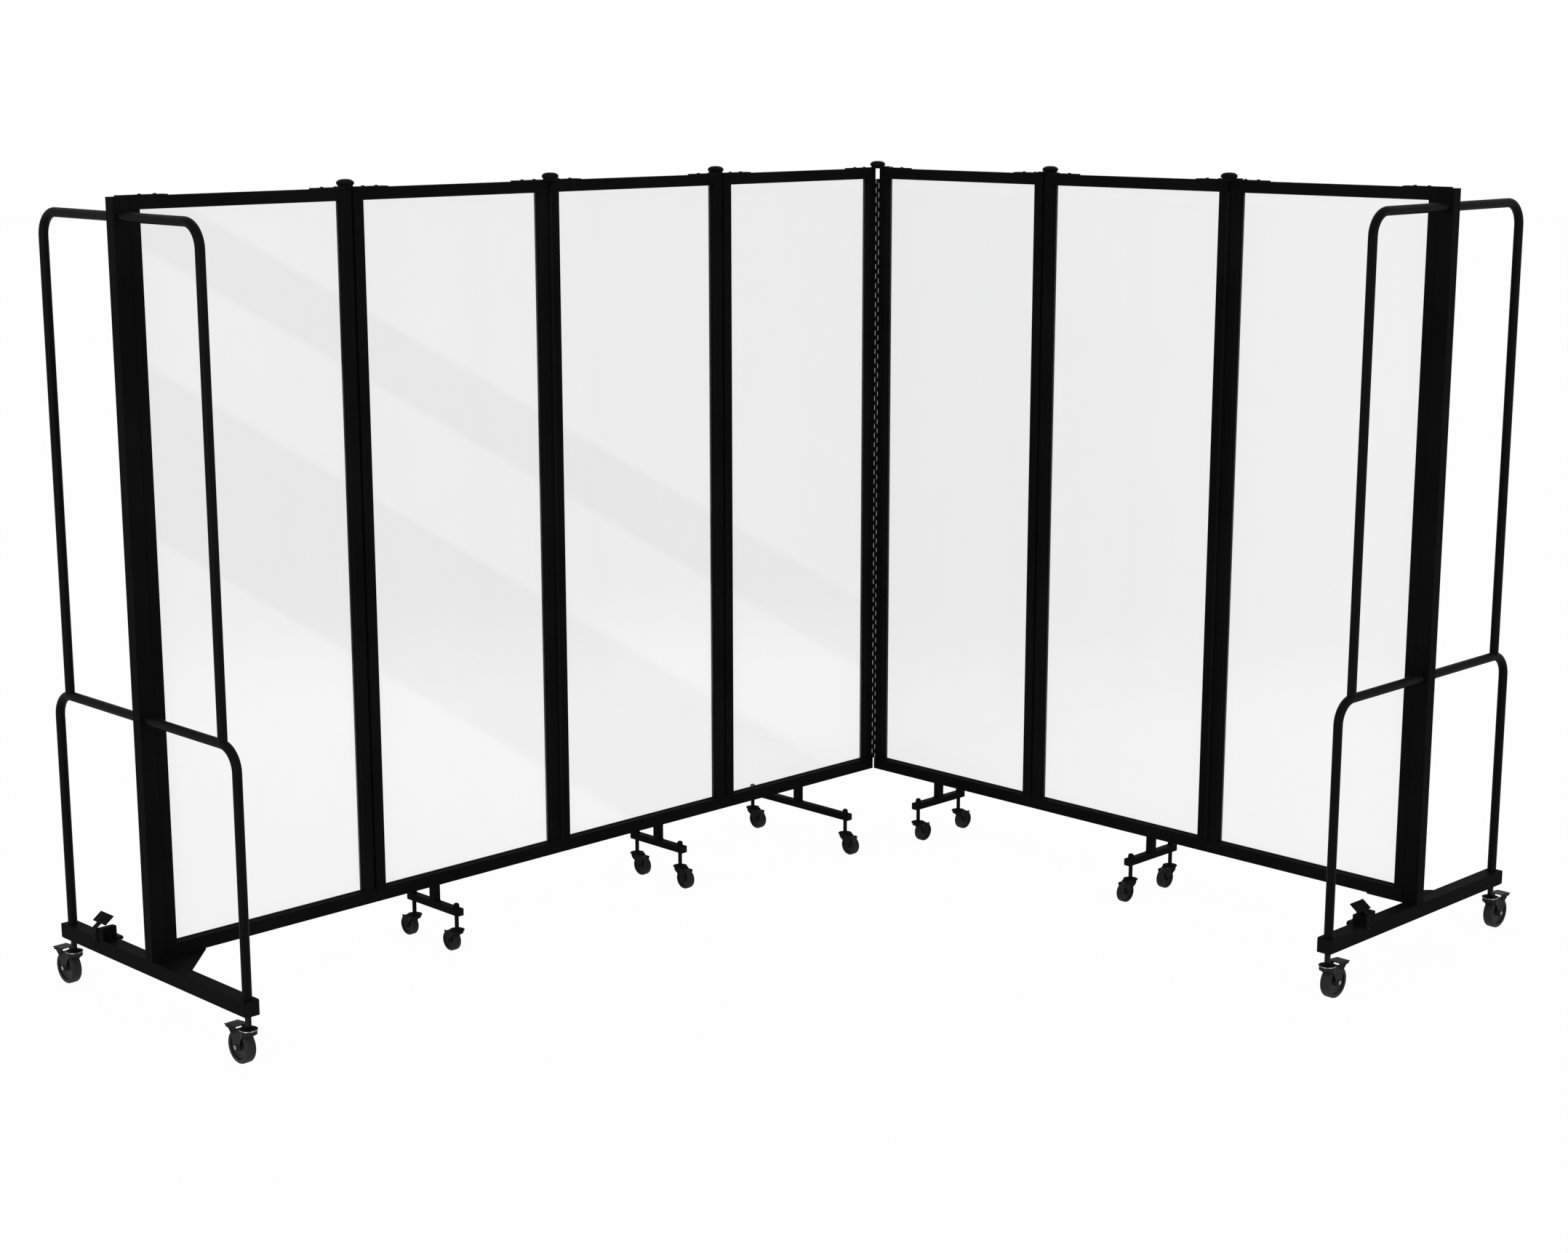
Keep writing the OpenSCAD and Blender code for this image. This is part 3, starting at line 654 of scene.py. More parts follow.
class GeometryTree:
    """A Geometry Nodes tree with named inputs, made one call at a time."""

    def __init__(self, name: str) -> None:
        """Starts a tree that takes and gives a geometry.

        Args:
            name: the tree's name.
        """
        self.group = bpy.data.node_groups.new(name, "GeometryNodeTree")
        for way in ("OUTPUT", "INPUT"):
            self.group.interface.new_socket(
                name="Geometry", in_out=way, socket_type="NodeSocketGeometry")
        self.source = self.group.nodes.new("NodeGroupInput")
        self.names: dict[str, str] = {}

    def entry(self, name: str, kind: str, default: Any = None) -> bpy.types.NodeSocket:
        """Adds a named input.

        Args:
            name: the input's name.
            kind: Float, Int, Vector, Object or Material.
            default: its value at first.

        Returns:
            The socket that gives it inside the tree.
        """
        item = self.group.interface.new_socket(
            name=name, in_out="INPUT", socket_type=f"NodeSocket{kind}")
        if default is not None:
            item.default_value = default
        self.names[name] = item.identifier
        return self.source.outputs[name]

    def node(self, kind: str, settings: dict[str, Any], inputs: dict[str, Any]) -> bpy.types.Node:
        """Adds a node.

        Args:
            kind: the node's type.
            settings: its properties, set before its inputs.
            inputs: values or links for its enabled sockets, by name.

        Returns:
            The new node.
        """
        node = self.group.nodes.new(kind)
        for name, value in settings.items():
            setattr(node, name, value)
        for name, value in inputs.items():
            socket = next(s for s in node.inputs if s.name == name and s.enabled)
            if isinstance(value, bpy.types.NodeSocket):
                self.group.links.new(value, socket)
            else:
                socket.default_value = value
        return node

    def drawn(self, low: float, high: float, seed: bpy.types.NodeSocket) -> bpy.types.NodeSocket:
        """Gives a random number for each point.

        Args:
            low: the least number.
            high: the greatest.
            seed: the seed that fixes the draw.

        Returns:
            The number's socket.
        """
        inputs = {"Min": low, "Max": high, "Seed": seed}
        node = self.node("FunctionNodeRandomValue", {"data_type": "FLOAT"}, inputs)
        return next(output for output in node.outputs if output.enabled)

    def close(self, instances: bpy.types.NodeSocket, finish: bpy.types.NodeSocket) -> None:
        """Ends the tree in Realize Instances and Set Material.

        Args:
            instances: the instances to make real.
            finish: their material.
        """
        real = self.node("GeometryNodeRealizeInstances", {}, {"Geometry": instances})
        inputs = {"Geometry": real.outputs[0], "Material": finish}
        dressed = self.node("GeometryNodeSetMaterial", {}, inputs)
        output = self.group.nodes.new("NodeGroupOutput")
        self.group.links.new(dressed.outputs[0], output.inputs[0])

    def run(self, name: str, mesh: bpy.types.Mesh, inputs: dict[str, Any]) -> bpy.types.Object:
        """Runs the tree on a mesh and gives the result as one plain mesh object.

        Args:
            name: the object's name.
            mesh: what the tree starts from.
            inputs: values of the named inputs.

        Returns:
            The object, with no modifier.
        """
        carrier = new_object(f"{name}_carrier", mesh)
        modifier = carrier.modifiers.new("repeat", "NODES")
        modifier.node_group = self.group
        for key, value in inputs.items():
            modifier[self.names[key]] = value
        bpy.context.view_layer.update()
        graph = bpy.context.evaluated_depsgraph_get()
        plain = bpy.data.meshes.new_from_object(carrier.evaluated_get(graph), depsgraph=graph)
        carrier.modifiers.clear()
        bpy.data.objects.remove(carrier)
        plain.name = name
        aims = plain.attributes.get("aim")
        if aims is not None:
            plain.attributes.remove(aims)
        plain.materials.clear()
        plain.materials.append(inputs["Finish"])
        plain.polygons.foreach_set("material_index", [0] * len(plain.polygons))
        return new_object(name, plain)


class FastenerField:
    """Heads of screws, bolts and rivets, one at each point and along its aim."""

    def __init__(self) -> None:
        """Builds the tree."""
        tree = GeometryTree("fastener_field")
        head = tree.entry("Head", "Object")
        finish = tree.entry("Finish", "Material")
        size = tree.entry("Size", "Float", 1.0)
        seed = tree.entry("Seed", "Int", 7)
        settings = {"data_type": "FLOAT_VECTOR"}
        aims = tree.node("GeometryNodeInputNamedAttribute", settings, {"Name": "aim"})
        inputs = {"Vector": aims.outputs[0]}
        stood = tree.node("FunctionNodeAlignRotationToVector", {"axis": "Z"}, inputs)
        angle = tree.drawn(0.0, 2.0 * math.pi, seed)
        turn = tree.node("ShaderNodeCombineXYZ", {}, {"Z": angle})
        inputs = {"Rotation": stood.outputs[0], "Rotate By": turn.outputs[0]}
        turned = tree.node("FunctionNodeRotateRotation", {"rotation_space": "LOCAL"}, inputs)
        info = tree.node("GeometryNodeObjectInfo", {}, {"Object": head})
        scale = tree.node("ShaderNodeCombineXYZ", {}, {"X": size, "Y": size, "Z": size})
        placed = tree.node("GeometryNodeInstanceOnPoints", {}, {
            "Points": tree.source.outputs["Geometry"],
            "Instance": info.outputs["Geometry"],
            "Rotation": turned.outputs[0],
            "Scale": scale.outputs[0],
        })
        tree.close(placed.outputs[0], finish)
        self.tree = tree

    def piece(
        self, name: str, body: str, slot: str, head: bpy.types.Object,
        finish: bpy.types.Material, places: Sequence[tuple[Vector, Vector]],
    ) -> bpy.types.Object:
        """Makes one body's fasteners.

        Args:
            name: the piece's name.
            body: the body that carries it.
            slot: the record's material slot; not used.
            head: the head, standing on z = 0 along +z.
            finish: its material.
            places: point and direction of each.

        Returns:
            The piece.
        """
        mesh = bpy.data.meshes.new(f"{name}_points")
        mesh.from_pydata([tuple(at) for at, _ in places], [], [])
        directions = mesh.attributes.new("aim", "FLOAT_VECTOR", "POINT")
        for entry, (_, direction) in zip(directions.data, places):
            entry.vector = direction
        made = self.tree.run(name, mesh, {"Head": head, "Finish": finish})
        return carry(made, body)


class ThreadField:
    """Screw threads wound round the stems at a set of points."""

    def __init__(self) -> None:
        """Builds the tree."""
        tree = GeometryTree("stem_threads")
        finish = tree.entry("Finish", "Material")
        radius = tree.entry("Radius", "Float", 0.006)
        height = tree.entry("Height", "Float", 0.02)
        turns = tree.entry("Turns", "Float", 10.0)
        ridge = tree.entry("Ridge", "Float", 0.0005)
        spiral = tree.node("GeometryNodeCurveSpiral", {}, {
            "Resolution": 24,
            "Rotations": turns,
            "Start Radius": radius,
            "End Radius": radius,
            "Height": height,
        })
        inputs = {"Resolution": 6, "Radius": ridge}
        wire = tree.node("GeometryNodeCurvePrimitiveCircle", {"mode": "RADIUS"}, inputs)
        inputs = {"Curve": spiral.outputs[0], "Profile Curve": wire.outputs[0], "Fill Caps": True}
        swept = tree.node("GeometryNodeCurveToMesh", {}, inputs)
        placed = tree.node("GeometryNodeInstanceOnPoints", {}, {
            "Points": tree.source.outputs["Geometry"],
            "Instance": swept.outputs[0],
        })
        tree.close(placed.outputs[0], finish)
        self.tree = tree

    def piece(
        self, name: str, body: str, slot: str, finish: bpy.types.Material,
        feet: Sequence[Vector], sizes: dict[str, float],
    ) -> bpy.types.Object:
        """Makes the threads of one body's stems.

        Args:
            name: the piece's name.
            body: the body that carries it.
            slot: the record's material slot; not used.
            finish: its material.
            feet: the lowest point of each thread, on its stem's axis.
            sizes: Radius, Height, Turns and Ridge.

        Returns:
            The piece.
        """
        mesh = bpy.data.meshes.new(f"{name}_points")
        mesh.from_pydata([tuple(foot) for foot in feet], [], [])
        return carry(self.tree.run(name, mesh, {"Finish": finish, **sizes}), body)


class BeadField:
    """Weld beads: overlapping ripples along the edges of a mesh."""

    ripple_share = 0.8

    def __init__(self) -> None:
        """Builds the tree."""
        tree = GeometryTree("weld_beads")
        finish = tree.entry("Finish", "Material")
        size = tree.entry("Size", "Float", 0.002)
        spacing = tree.entry("Spacing", "Float", 0.0016)
        seed = tree.entry("Seed", "Int", 3)
        path = tree.node("GeometryNodeMeshToCurve", {}, {"Mesh": tree.source.outputs["Geometry"]})
        inputs = {"Curve": path.outputs[0], "Length": spacing}
        points = tree.node("GeometryNodeResampleCurve", {"mode": "LENGTH"}, inputs)
        drop = tree.node("GeometryNodeMeshIcoSphere", {}, {"Radius": size, "Subdivisions": 2})
        smooth = tree.node("GeometryNodeSetShadeSmooth", {}, {"Geometry": drop.outputs[0]})
        placed = tree.node("GeometryNodeInstanceOnPoints", {}, {
            "Points": points.outputs[0],
            "Instance": smooth.outputs[0],
            "Scale": tree.drawn(0.8, 1.15, seed),
        })
        tree.close(placed.outputs[0], finish)
        self.tree = tree

    def piece(
        self, name: str, body: str, slot: str, finish: bpy.types.Material,
        paths: Iterable[Sequence[Vector]], size: float,
    ) -> bpy.types.Object:
        """Makes the beads of one body along straight-edged paths.

        Args:
            name: the piece's name.
            body: the body that carries it.
            slot: the record's material slot; not used.
            finish: its material.
            paths: the points of each path.
            size: radius of the bead.

        Returns:
            The piece.
        """
        points: list[Point] = []
        edges: list[tuple[int, int]] = []
        for path in paths:
            first = len(points)
            points += [tuple(p) for p in path]
            edges += [(first + k, first + k + 1) for k in range(len(path) - 1)]
        mesh = bpy.data.meshes.new(f"{name}_paths")
        mesh.from_pydata(points, edges, [])
        inputs = {"Finish": finish, "Size": size, "Spacing": size * self.ripple_share}
        return carry(self.tree.run(name, mesh, inputs), body)


def carry(piece: bpy.types.Object, body: str) -> bpy.types.Object:
    """Makes a piece ride on a body.

    Args:
        piece: the piece.
        body: the body that carries it.

    Returns:
        The piece.
    """
    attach(piece, body)
    return piece


def finish_piece(
    name: str, draft: bmesh.types.BMesh, materials: Sequence[bpy.types.Material],
    body: str, smooth: bool = True,
) -> bpy.types.Object:
    """Ends a bmesh as a piece that rides on a body.

    Args:
        name: the piece's name.
        draft: its bmesh, which is freed.
        materials: its materials, in the order of its faces' slots.
        body: the body that carries it.
        smooth: whether its faces are shaded smooth.

    Returns:
        The piece.
    """
    made = new_object(name, mesh_of(name, draft, smooth))
    for material in materials:
        made.data.materials.append(material)
    return carry(made, body)


def dress(node: str, material: bpy.types.Material) -> None:
    """Gives a node of the frame one material in all its slots."""
    for slot in frame["nodes"][node].material_slots:
        slot.material = material


def screw_head(name: str, radius: float, height: float) -> bpy.types.Object:
    """Models a pan head with a cross recess, standing on z = 0, kept out of the scene.

    Args:
        name: the object's name.
        radius: radius of the head.
        height: height of its dome.

    Returns:
        The object, for a fastener field.
    """
    rings, segments = 12, 40
    arm, width, depth = radius * 0.62, radius * 0.15, height * 0.6
    slope, roundness, crowding = radius * 0.08, 3.2, 0.8
    draft = bmesh.new()

    def surface(x: float, y: float) -> float:
        """Gives the height of the head's surface, with the recess cut in.

        Args:
            x: first offset from the axis.
            y: second offset.

        Returns:
            The height.
        """
        r = math.hypot(x, y) / radius
        dome = height * (1.0 - r ** roundness) ** 0.5 if r < 1.0 else 0.0
        near = min(max(abs(x) - width, abs(y) - arm), max(abs(y) - width, abs(x) - arm))
        return dome - min(max(-near / slope, 0.0), 1.0) * depth

    loops = [[draft.verts.new((0.0, 0.0, surface(0.0, 0.0)))]]
    for k in range(1, rings + 1):
        r = radius * (k / rings) ** crowding
        circle = [(r * math.cos(a), r * math.sin(a)) for a in circle_angles(segments)]
        loops.append([draft.verts.new((x, y, surface(x, y))) for x, y in circle])
    skirt = [draft.verts.new((v.co.x, v.co.y, -height * 0.1)) for v in loops[-1]]
    loops.append(skirt)
    for inner, outer in zip(loops, loops[1:]):
        for s in range(segments):
            n = (s + 1) % segments
            corners = [inner[s % len(inner)], outer[s], outer[n], inner[n % len(inner)]]
            draft.faces.new(list(dict.fromkeys(corners)))
    draft.faces.new(skirt)
    return bpy.data.objects.new(name, mesh_of(name, draft))


def bolt_head(name: str, across: float, height: float) -> bpy.types.Object:
    """Models a hexagon head with a chamfer and a washer face, kept out of the scene.

    Args:
        name: the object's name.
        across: width across the corners.
        height: height of the head.

    Returns:
        The object, for a fastener field.
    """
    draft = bmesh.new()
    r = across / 2.0
    sunk, rim, crown = -0.0001, height * 0.15, height * 0.16
    washer = [(0.0, sunk), (r * 1.25, sunk), (r * 1.25, rim), (r * 0.6, crown), (0.0, crown)]
    add_revolved(draft, washer, 24, Matrix.Identity(4))
    foot, chamfer = height * 0.1, height * 0.85
    head = [(0.0, foot), (r, foot), (r, chamfer), (r * 0.86, height), (0.0, height)]
    add_revolved(draft, head, 6, Matrix.Identity(4))
    return bpy.data.objects.new(name, mesh_of(name, draft))


def hollow_rivet(name: str, radius: float, height: float) -> bpy.types.Object:
    """Models the rolled end of a hollow axle rivet, kept out of the scene.

    Args:
        name: the object's name.
        radius: its outer radius.
        height: how far its rolled rim stands out.

    Returns:
        The object, for a fastener field.
    """
    draft = bmesh.new()
    r, h = radius, height
    profile = [
        (0.0, 0.0), (r * 0.42, 0.0), (r * 0.46, h * 0.75), (r * 0.6, h), (r * 0.8, h * 0.92),
        (r * 0.97, h * 0.5), (r, 0.0), (r * 0.98, -h * 0.2), (0.0, -h * 0.2),
    ]
    add_revolved(draft, profile, 32, Matrix.Identity(4))
    return bpy.data.objects.new(name, mesh_of(name, draft))


@dataclass
class Panels:
    """The seven framed panes with their gaskets, hinge edges and plate screws."""

    layout: Layout
    finishes: Finishes
    fasteners: FastenerField
    plate_thickness: float = 0.0025
    near_screw: float = 0.0365
    far_screw: float = 0.0725
    screw_radius: float = 0.0045
    screw_height: float = 0.0022
    pane_overlap: float = 0.0092
    row_top_gap: float = 0.0112
    leaf_inner: float = 0.0022
    leaf_outer: float = 0.0037
    lip_start: float = 0.00324
    lip_end: float = 0.00435
    lip_bevel: float = 0.0002
    knuckle_radius: float = 0.0035
    knuckle_bore: float = 0.0019
    knuckle_length: float = 0.0125
    knuckle_gap: float = 0.00015
    gasket: float = 0.0022
    gasket_back: float = 0.0002
    gasket_lip: float = 0.0006
    gasket_rise: float = 0.6
    knuckle_faces: int = 32

    def build(self) -> None:
        """Dresses the panels' nodes and adds their pieces."""
        head = screw_head("plate_screw", self.screw_radius, self.screw_height)
        for panel in range(1, PANELS + 1):
            left = panel <= LEFT_PANELS
            pane = self.finishes.left_pane if left else self.finishes.right_pane
            dress(f"panel_{panel}_frame", self.finishes.frame)
            dress(f"panel_{panel}_pane", pane)
            dress(f"panel_{panel}_hinges", self.finishes.hinge)
            self._screws(panel, head)
            self._gasket(panel)
            self._hinge_edges(panel)
            LOG.info("panel %d dressed", panel)
        bpy.data.objects.remove(head)

    def _screws(self, panel: int, head: bpy.types.Object) -> None:
        """Caps the screws of a panel's top plates with cross-recessed heads.

        Args:
            panel: the panel's number from the left.
            head: the head to repeat.
        """
        place = self.layout.panel_matrix(panel)
        middle = self.layout.depth / 2.0
        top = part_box(f"panel_{panel}_frame")[1][2] + self.plate_thickness
        spots = [self.near_screw, self.far_screw]
        spots += [self.layout.pitch - x for x in spots]
        places = [(place @ Vector((x, middle, top)), Vector((0.0, 0.0, 1.0))) for x in spots]
        self.fasteners.piece(f"plate_screws_{panel}", f"panel_{panel}", "black_hinge", head,
                             self.finishes.hinge, places)

    def _hinge_edges(self, panel: int) -> None:
        """Rolls the hinge leaves' edges close to the knuckles and ends the knuckles' row on top.

        Args:
            panel: the panel's number from the left.
        """
        pane_bottom, pane_top = (corner[2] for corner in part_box(f"panel_{panel}_pane"))
        low, high = pane_bottom + self.pane_overlap, pane_top - self.row_top_gap
        row = math.floor((high - low) / self.knuckle_length) * self.knuckle_length
        last = low + row + self.knuckle_gap
        draft = bmesh.new()
        for hinge, at_left in ((panel - 1, True), (panel, False)):
            if not 0 < hinge < PANELS:
                continue
            at_back = hinge % 2 == 1
            x, y = (0.0 if at_left else self.layout.pitch), (self.layout.depth if at_back else 0.0)
            flip = Matrix.Diagonal((1.0 if at_left else -1.0, -1.0 if at_back else 1.0, 1.0, 1.0))
            place = self.layout.panel_matrix(panel) @ Matrix.Translation((x, y, 0.0)) @ flip
            corner = Vector((self.leaf_outer, self.lip_end, high))
            lip = Vector((self.leaf_inner, self.lip_start, low))
            add_block(draft, lip, corner, place, self.lip_bevel)
            if at_left:
                bore, r = self.knuckle_bore, self.knuckle_radius
                ring = [(bore, last), (r, last), (r, high), (bore, high)]
                add_revolved(draft, ring, self.knuckle_faces, place)
                tab = Vector((self.leaf_inner, 0.0, last))
                add_block(draft, tab, corner, place, self.lip_bevel)
        finish_piece(f"hinge_edges_{panel}", draft, [self.finishes.hinge],
                     f"panel_{panel}")

    def _gasket(self, panel: int) -> None:
        """Runs a thin rubber bead round the front of a pane, where it meets the frame.

        Args:
            panel: the panel's number from the left.
        """
        low, high = (Vector(corner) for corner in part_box(f"panel_{panel}_pane"))
        place = self.layout.panel_matrix(panel)
        inverse = place.inverted()
        a, b = inverse @ low, inverse @ high
        front, g = min(a.y, b.y), self.gasket
        x0, x1 = min(a.x, b.x) + self.pane_overlap, max(a.x, b.x) - self.pane_overlap
        z0, z1 = low.z + self.pane_overlap, high.z - self.pane_overlap
        outer = [(x0, z0), (x1, z0), (x1, z1), (x0, z1)]
        inner = [(x0 + g, z0 + g), (x1 - g, z0 + g), (x1 - g, z1 - g), (x0 + g, z1 - g)]
        back, lip = front - self.gasket_back, front - self.gasket_lip
        section = [
            (outer, back), (outer, front - g * self.gasket_rise), (inner, lip), (inner, back),
        ]
        draft = bmesh.new()
        rings = [
            [draft.verts.new(place @ Vector((x, y, z))) for x, z in loop]
            for loop, y in section
        ]
        for ring, following in zip(rings, rings[1:] + rings[:1]):
            for k in range(4):
                n = (k + 1) % 4
                draft.faces.new([ring[k], ring[n], following[n], following[k]])
        finish_piece(f"pane_gasket_{panel}", draft, [self.finishes.gasket],
                     f"panel_{panel}", smooth=False)


@dataclass
class TFeet:
    """The T feet of the inner panels: plugs in the beam's ends and weld beads at the upright."""

    layout: Layout
    finishes: Finishes
    beads: BeadField
    beam_width: float = 0.018
    beam_height: float = 0.0173
    beam_end: float = 0.0154
    beam_top: float = 0.1085
    upright_top: float = 0.148
    plug_inset: float = 0.0004
    plug_sunk: float = 0.0003
    plug_proud: float = 0.0014
    plug_bevel: float = 0.0006
    bead: float = 0.0013

    def build(self) -> None:
        """Adds the pieces of each T foot."""
        for panel in range(2, PANELS):
            self._plugs(panel)
            self._welds(panel)
            LOG.info("T foot of panel %d finished", panel)

    def _ends(self, panel: int) -> tuple[Vector, Vector]:
        """Gives a panel's front and back stems in the panel's frame."""
        inverse = self.layout.panel_matrix(panel).inverted()
        return tuple(inverse @ joint_point(f"swivel_{panel}_{side.value}") for side in Side)

    def _plugs(self, panel: int) -> None:
        """Closes the two ends of a beam with moulded plugs.

        Args:
            panel: the panel's number from the left.
        """
        place = self.layout.panel_matrix(panel)
        half = self.beam_width / 2.0 - self.plug_inset
        bottom = self.beam_top - self.beam_height + self.plug_inset
        draft = bmesh.new()
        for stem, out in zip(self._ends(panel), (-1.0, 1.0)):
            face = stem.y + out * self.beam_end
            y0, y1 = sorted((face - out * self.plug_sunk, face + out * self.plug_proud))
            low = Vector((stem.x - half, y0, bottom))
            high = Vector((stem.x + half, y1, self.beam_top - self.plug_inset))
            add_block(draft, low, high, place, self.plug_bevel)
        finish_piece(f"beam_plugs_{panel}", draft, [self.finishes.plug],
                     f"panel_{panel}")

    def _welds(self, panel: int) -> None:
        """Runs a bead round both ends of the upright.

        Args:
            panel: the panel's number from the left.
        """
        place = self.layout.panel_matrix(panel)
        front, back = self._ends(panel)
        middle = (front.y + back.y) / 2.0
        half = self.beam_width / 2.0
        corners = [(-half, -half), (half, -half), (half, half), (-half, half), (-half, -half)]
        paths = [
            [place @ Vector((front.x + dx, middle + dy, z)) for dx, dy in corners]
            for z in (self.beam_top, self.upright_top)
        ]
        self.beads.piece(f"foot_welds_{panel}", f"panel_{panel}", "black_frame",
                         self.finishes.frame, paths, self.bead)


@dataclass(frozen=True)
class CastorSize:
    """Sizes of one kind of castor: its wheel, and the thread on its stem."""

    radius: float
    width: float
    bore: float
    thread_radius: float
    thread_pitch: float
    thread_ridge: float
    thread_bottom: float
    thread_top: float


@dataclass
class Castors:
    """Castors: wheels with a tyre and a core, bright races, threads and axle rivets."""

    finishes: Finishes
    fasteners: FastenerField
    threads: ThreadField
    braked: CastorSize = CastorSize(
        radius=0.0375, width=0.024, bore=0.00405, thread_radius=0.00635, thread_pitch=0.00175,
        thread_ridge=0.00055, thread_bottom=0.0885, thread_top=0.1132,
    )
    plain: CastorSize = CastorSize(
        radius=0.025, width=0.019, bore=0.00325, thread_radius=0.00475, thread_pitch=0.0014,
        thread_ridge=0.0004, thread_bottom=0.0602, thread_top=0.0912,
    )
    hub_wall: float = 0.0045
    side_gap: float = 0.001
    fork_wall: float = 0.002
    washer: float = 0.0024
    rivet_radius: float = 0.0046
    rivet_height: float = 0.0014
    race_bottom: float = 0.0797
    race_height: float = 0.0019
    race_radius: float = 0.0194
    corner_share: float = 0.42
    round_faces: int = 64

    def build(self) -> None:
        """Builds every castor's pieces."""
        rivet = hollow_rivet("axle_rivet", self.rivet_radius, self.rivet_height)
        for panel in range(1, PANELS + 1):
            big = panel in (1, PANELS)
            for side in Side:
                key = f"{panel}_{side.value}"
                self._wheel(key, big)
                dress(f"castor_{key}_fork", self.finishes.fork if big else self.finishes.small_fork)
                if big:
                    dress(f"brake_pedal_{key}", self.finishes.pedal)
                    self._rivets(key, rivet)
                    self._race(key, panel)
            self._threads(panel, big)
            LOG.info("castors of panel %d finished", panel)
        bpy.data.objects.remove(rivet)

    def _wheel(self, key: str, big: bool) -> None:
        """Models a wheel in place of the frame's plain one.

        The profiles are given by radius and by height along the axle, as shares of the wheel.

        Args:
            key: the castor's panel and side.
            big: whether it is a braked castor.
        """
        size = self.braked if big else self.plain
        r, w, bore = size.radius, size.width / 2.0, size.bore
        c = w * self.corner_share
        shoulder = [
            (r - c + c * math.sin(a), w - c + c * math.cos(a))
            for a in (math.pi / 2.0 * k / 5 for k in range(6))
        ]
        crown = shoulder + [(r, 0.0)] + [(x, -z) for x, z in reversed(shoulder)]
        lip = [(r * 0.74, w * 0.9), (r * 0.76, w * 0.97), (r * 0.82, w)]
        tyre = lip + crown + [(x, -z) for x, z in reversed(lip)]
        hub = bore + self.hub_wall
        half = [
            (bore, w), (hub - 0.0006, w), (hub, w - 0.0006), (hub + 0.0008, w * 0.62),
            (r * 0.56, w * 0.5), (r * 0.6, w * 0.62), (r * 0.66, w * 0.66), (r * 0.7, w * 0.6),
            (r * 0.742, w * 0.6),
        ]
        core = half + [(x, -z) for x, z in reversed(half)]
        place = aim(joint_axis(f"roll_{key}"), joint_point(f"roll_{key}"))
        draft = bmesh.new()
        add_revolved(draft, tyre, self.round_faces, place, 0)
        add_revolved(draft, core, self.round_faces, place, 1)
        own = self.finishes
        materials = [own.tyre, own.core] if big else [own.small_tyre, own.small_core]
        made = finish_piece(f"wheel_{key}", draft, materials, f"castor_{key}_wheel")
        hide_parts(f"castor_{key}_wheel")

    def _rivets(self, key: str, rivet: bpy.types.Object) -> None:
        """Puts a bright hollow rivet on both ends of a braked castor's axle.

        Args:
            key: the castor's panel and side.
            rivet: the rivet's end to repeat.
        """
        at, axis = joint_point(f"roll_{key}"), joint_axis(f"roll_{key}")
        out = self.braked.width / 2.0 + self.side_gap + self.fork_wall + self.washer
        places = [(at + axis * out, axis), (at - axis * out, -axis)]
        self.fasteners.piece(f"axle_rivets_{key}", f"castor_{key}_fork", "castor_fork", rivet,
                             self.finishes.zinc, places)

    def _race(self, key: str, panel: int) -> None:
        """Puts the bright ring round the foot of a braked castor's swivel race.

        Args:
            key: the castor's panel and side.
            panel: the panel that carries it.
        """
        at = joint_point(f"swivel_{key}")
        bottom, height, radius = self.race_bottom, self.race_height, self.race_radius
        profile = [
            (radius - 0.0007, bottom), (radius, bottom + 0.0003),
            (radius + 0.0003, bottom + height * 0.3), (radius, bottom + height * 0.75),
            (radius - 0.0008, bottom + height), (radius - 0.0022, bottom + height * 1.05),
            (radius - 0.0022, bottom + height * 0.8), (radius - 0.0007, bottom + height * 0.8),
        ]
        draft = bmesh.new()
        place = Matrix.Translation((at.x, at.y, 0.0))
        add_revolved(draft, profile, self.round_faces, place)
        finish_piece(f"race_ring_{key}", draft, [self.finishes.zinc],
                     f"panel_{panel}")

    def _threads(self, panel: int, big: bool) -> None:
        """Winds the threads of both stems of a panel's foot.

        Args:
            panel: the panel's number from the left.
            big: whether its castors are braked ones.
        """
        size = self.braked if big else self.plain
        stems = [joint_point(f"swivel_{panel}_{side.value}") for side in Side]
        feet = [Vector((stem.x, stem.y, size.thread_bottom)) for stem in stems]
        height = size.thread_top - size.thread_bottom
        sizes = {
            "Radius": size.thread_radius,
            "Height": height,
            "Turns": height / size.thread_pitch,
            "Ridge": size.thread_ridge,
        }
        finish = self.finishes.thread if big else self.finishes.small_fork
        self.threads.piece(f"stem_threads_{panel}", f"panel_{panel}", "castor_fork", finish,
                           feet, sizes)


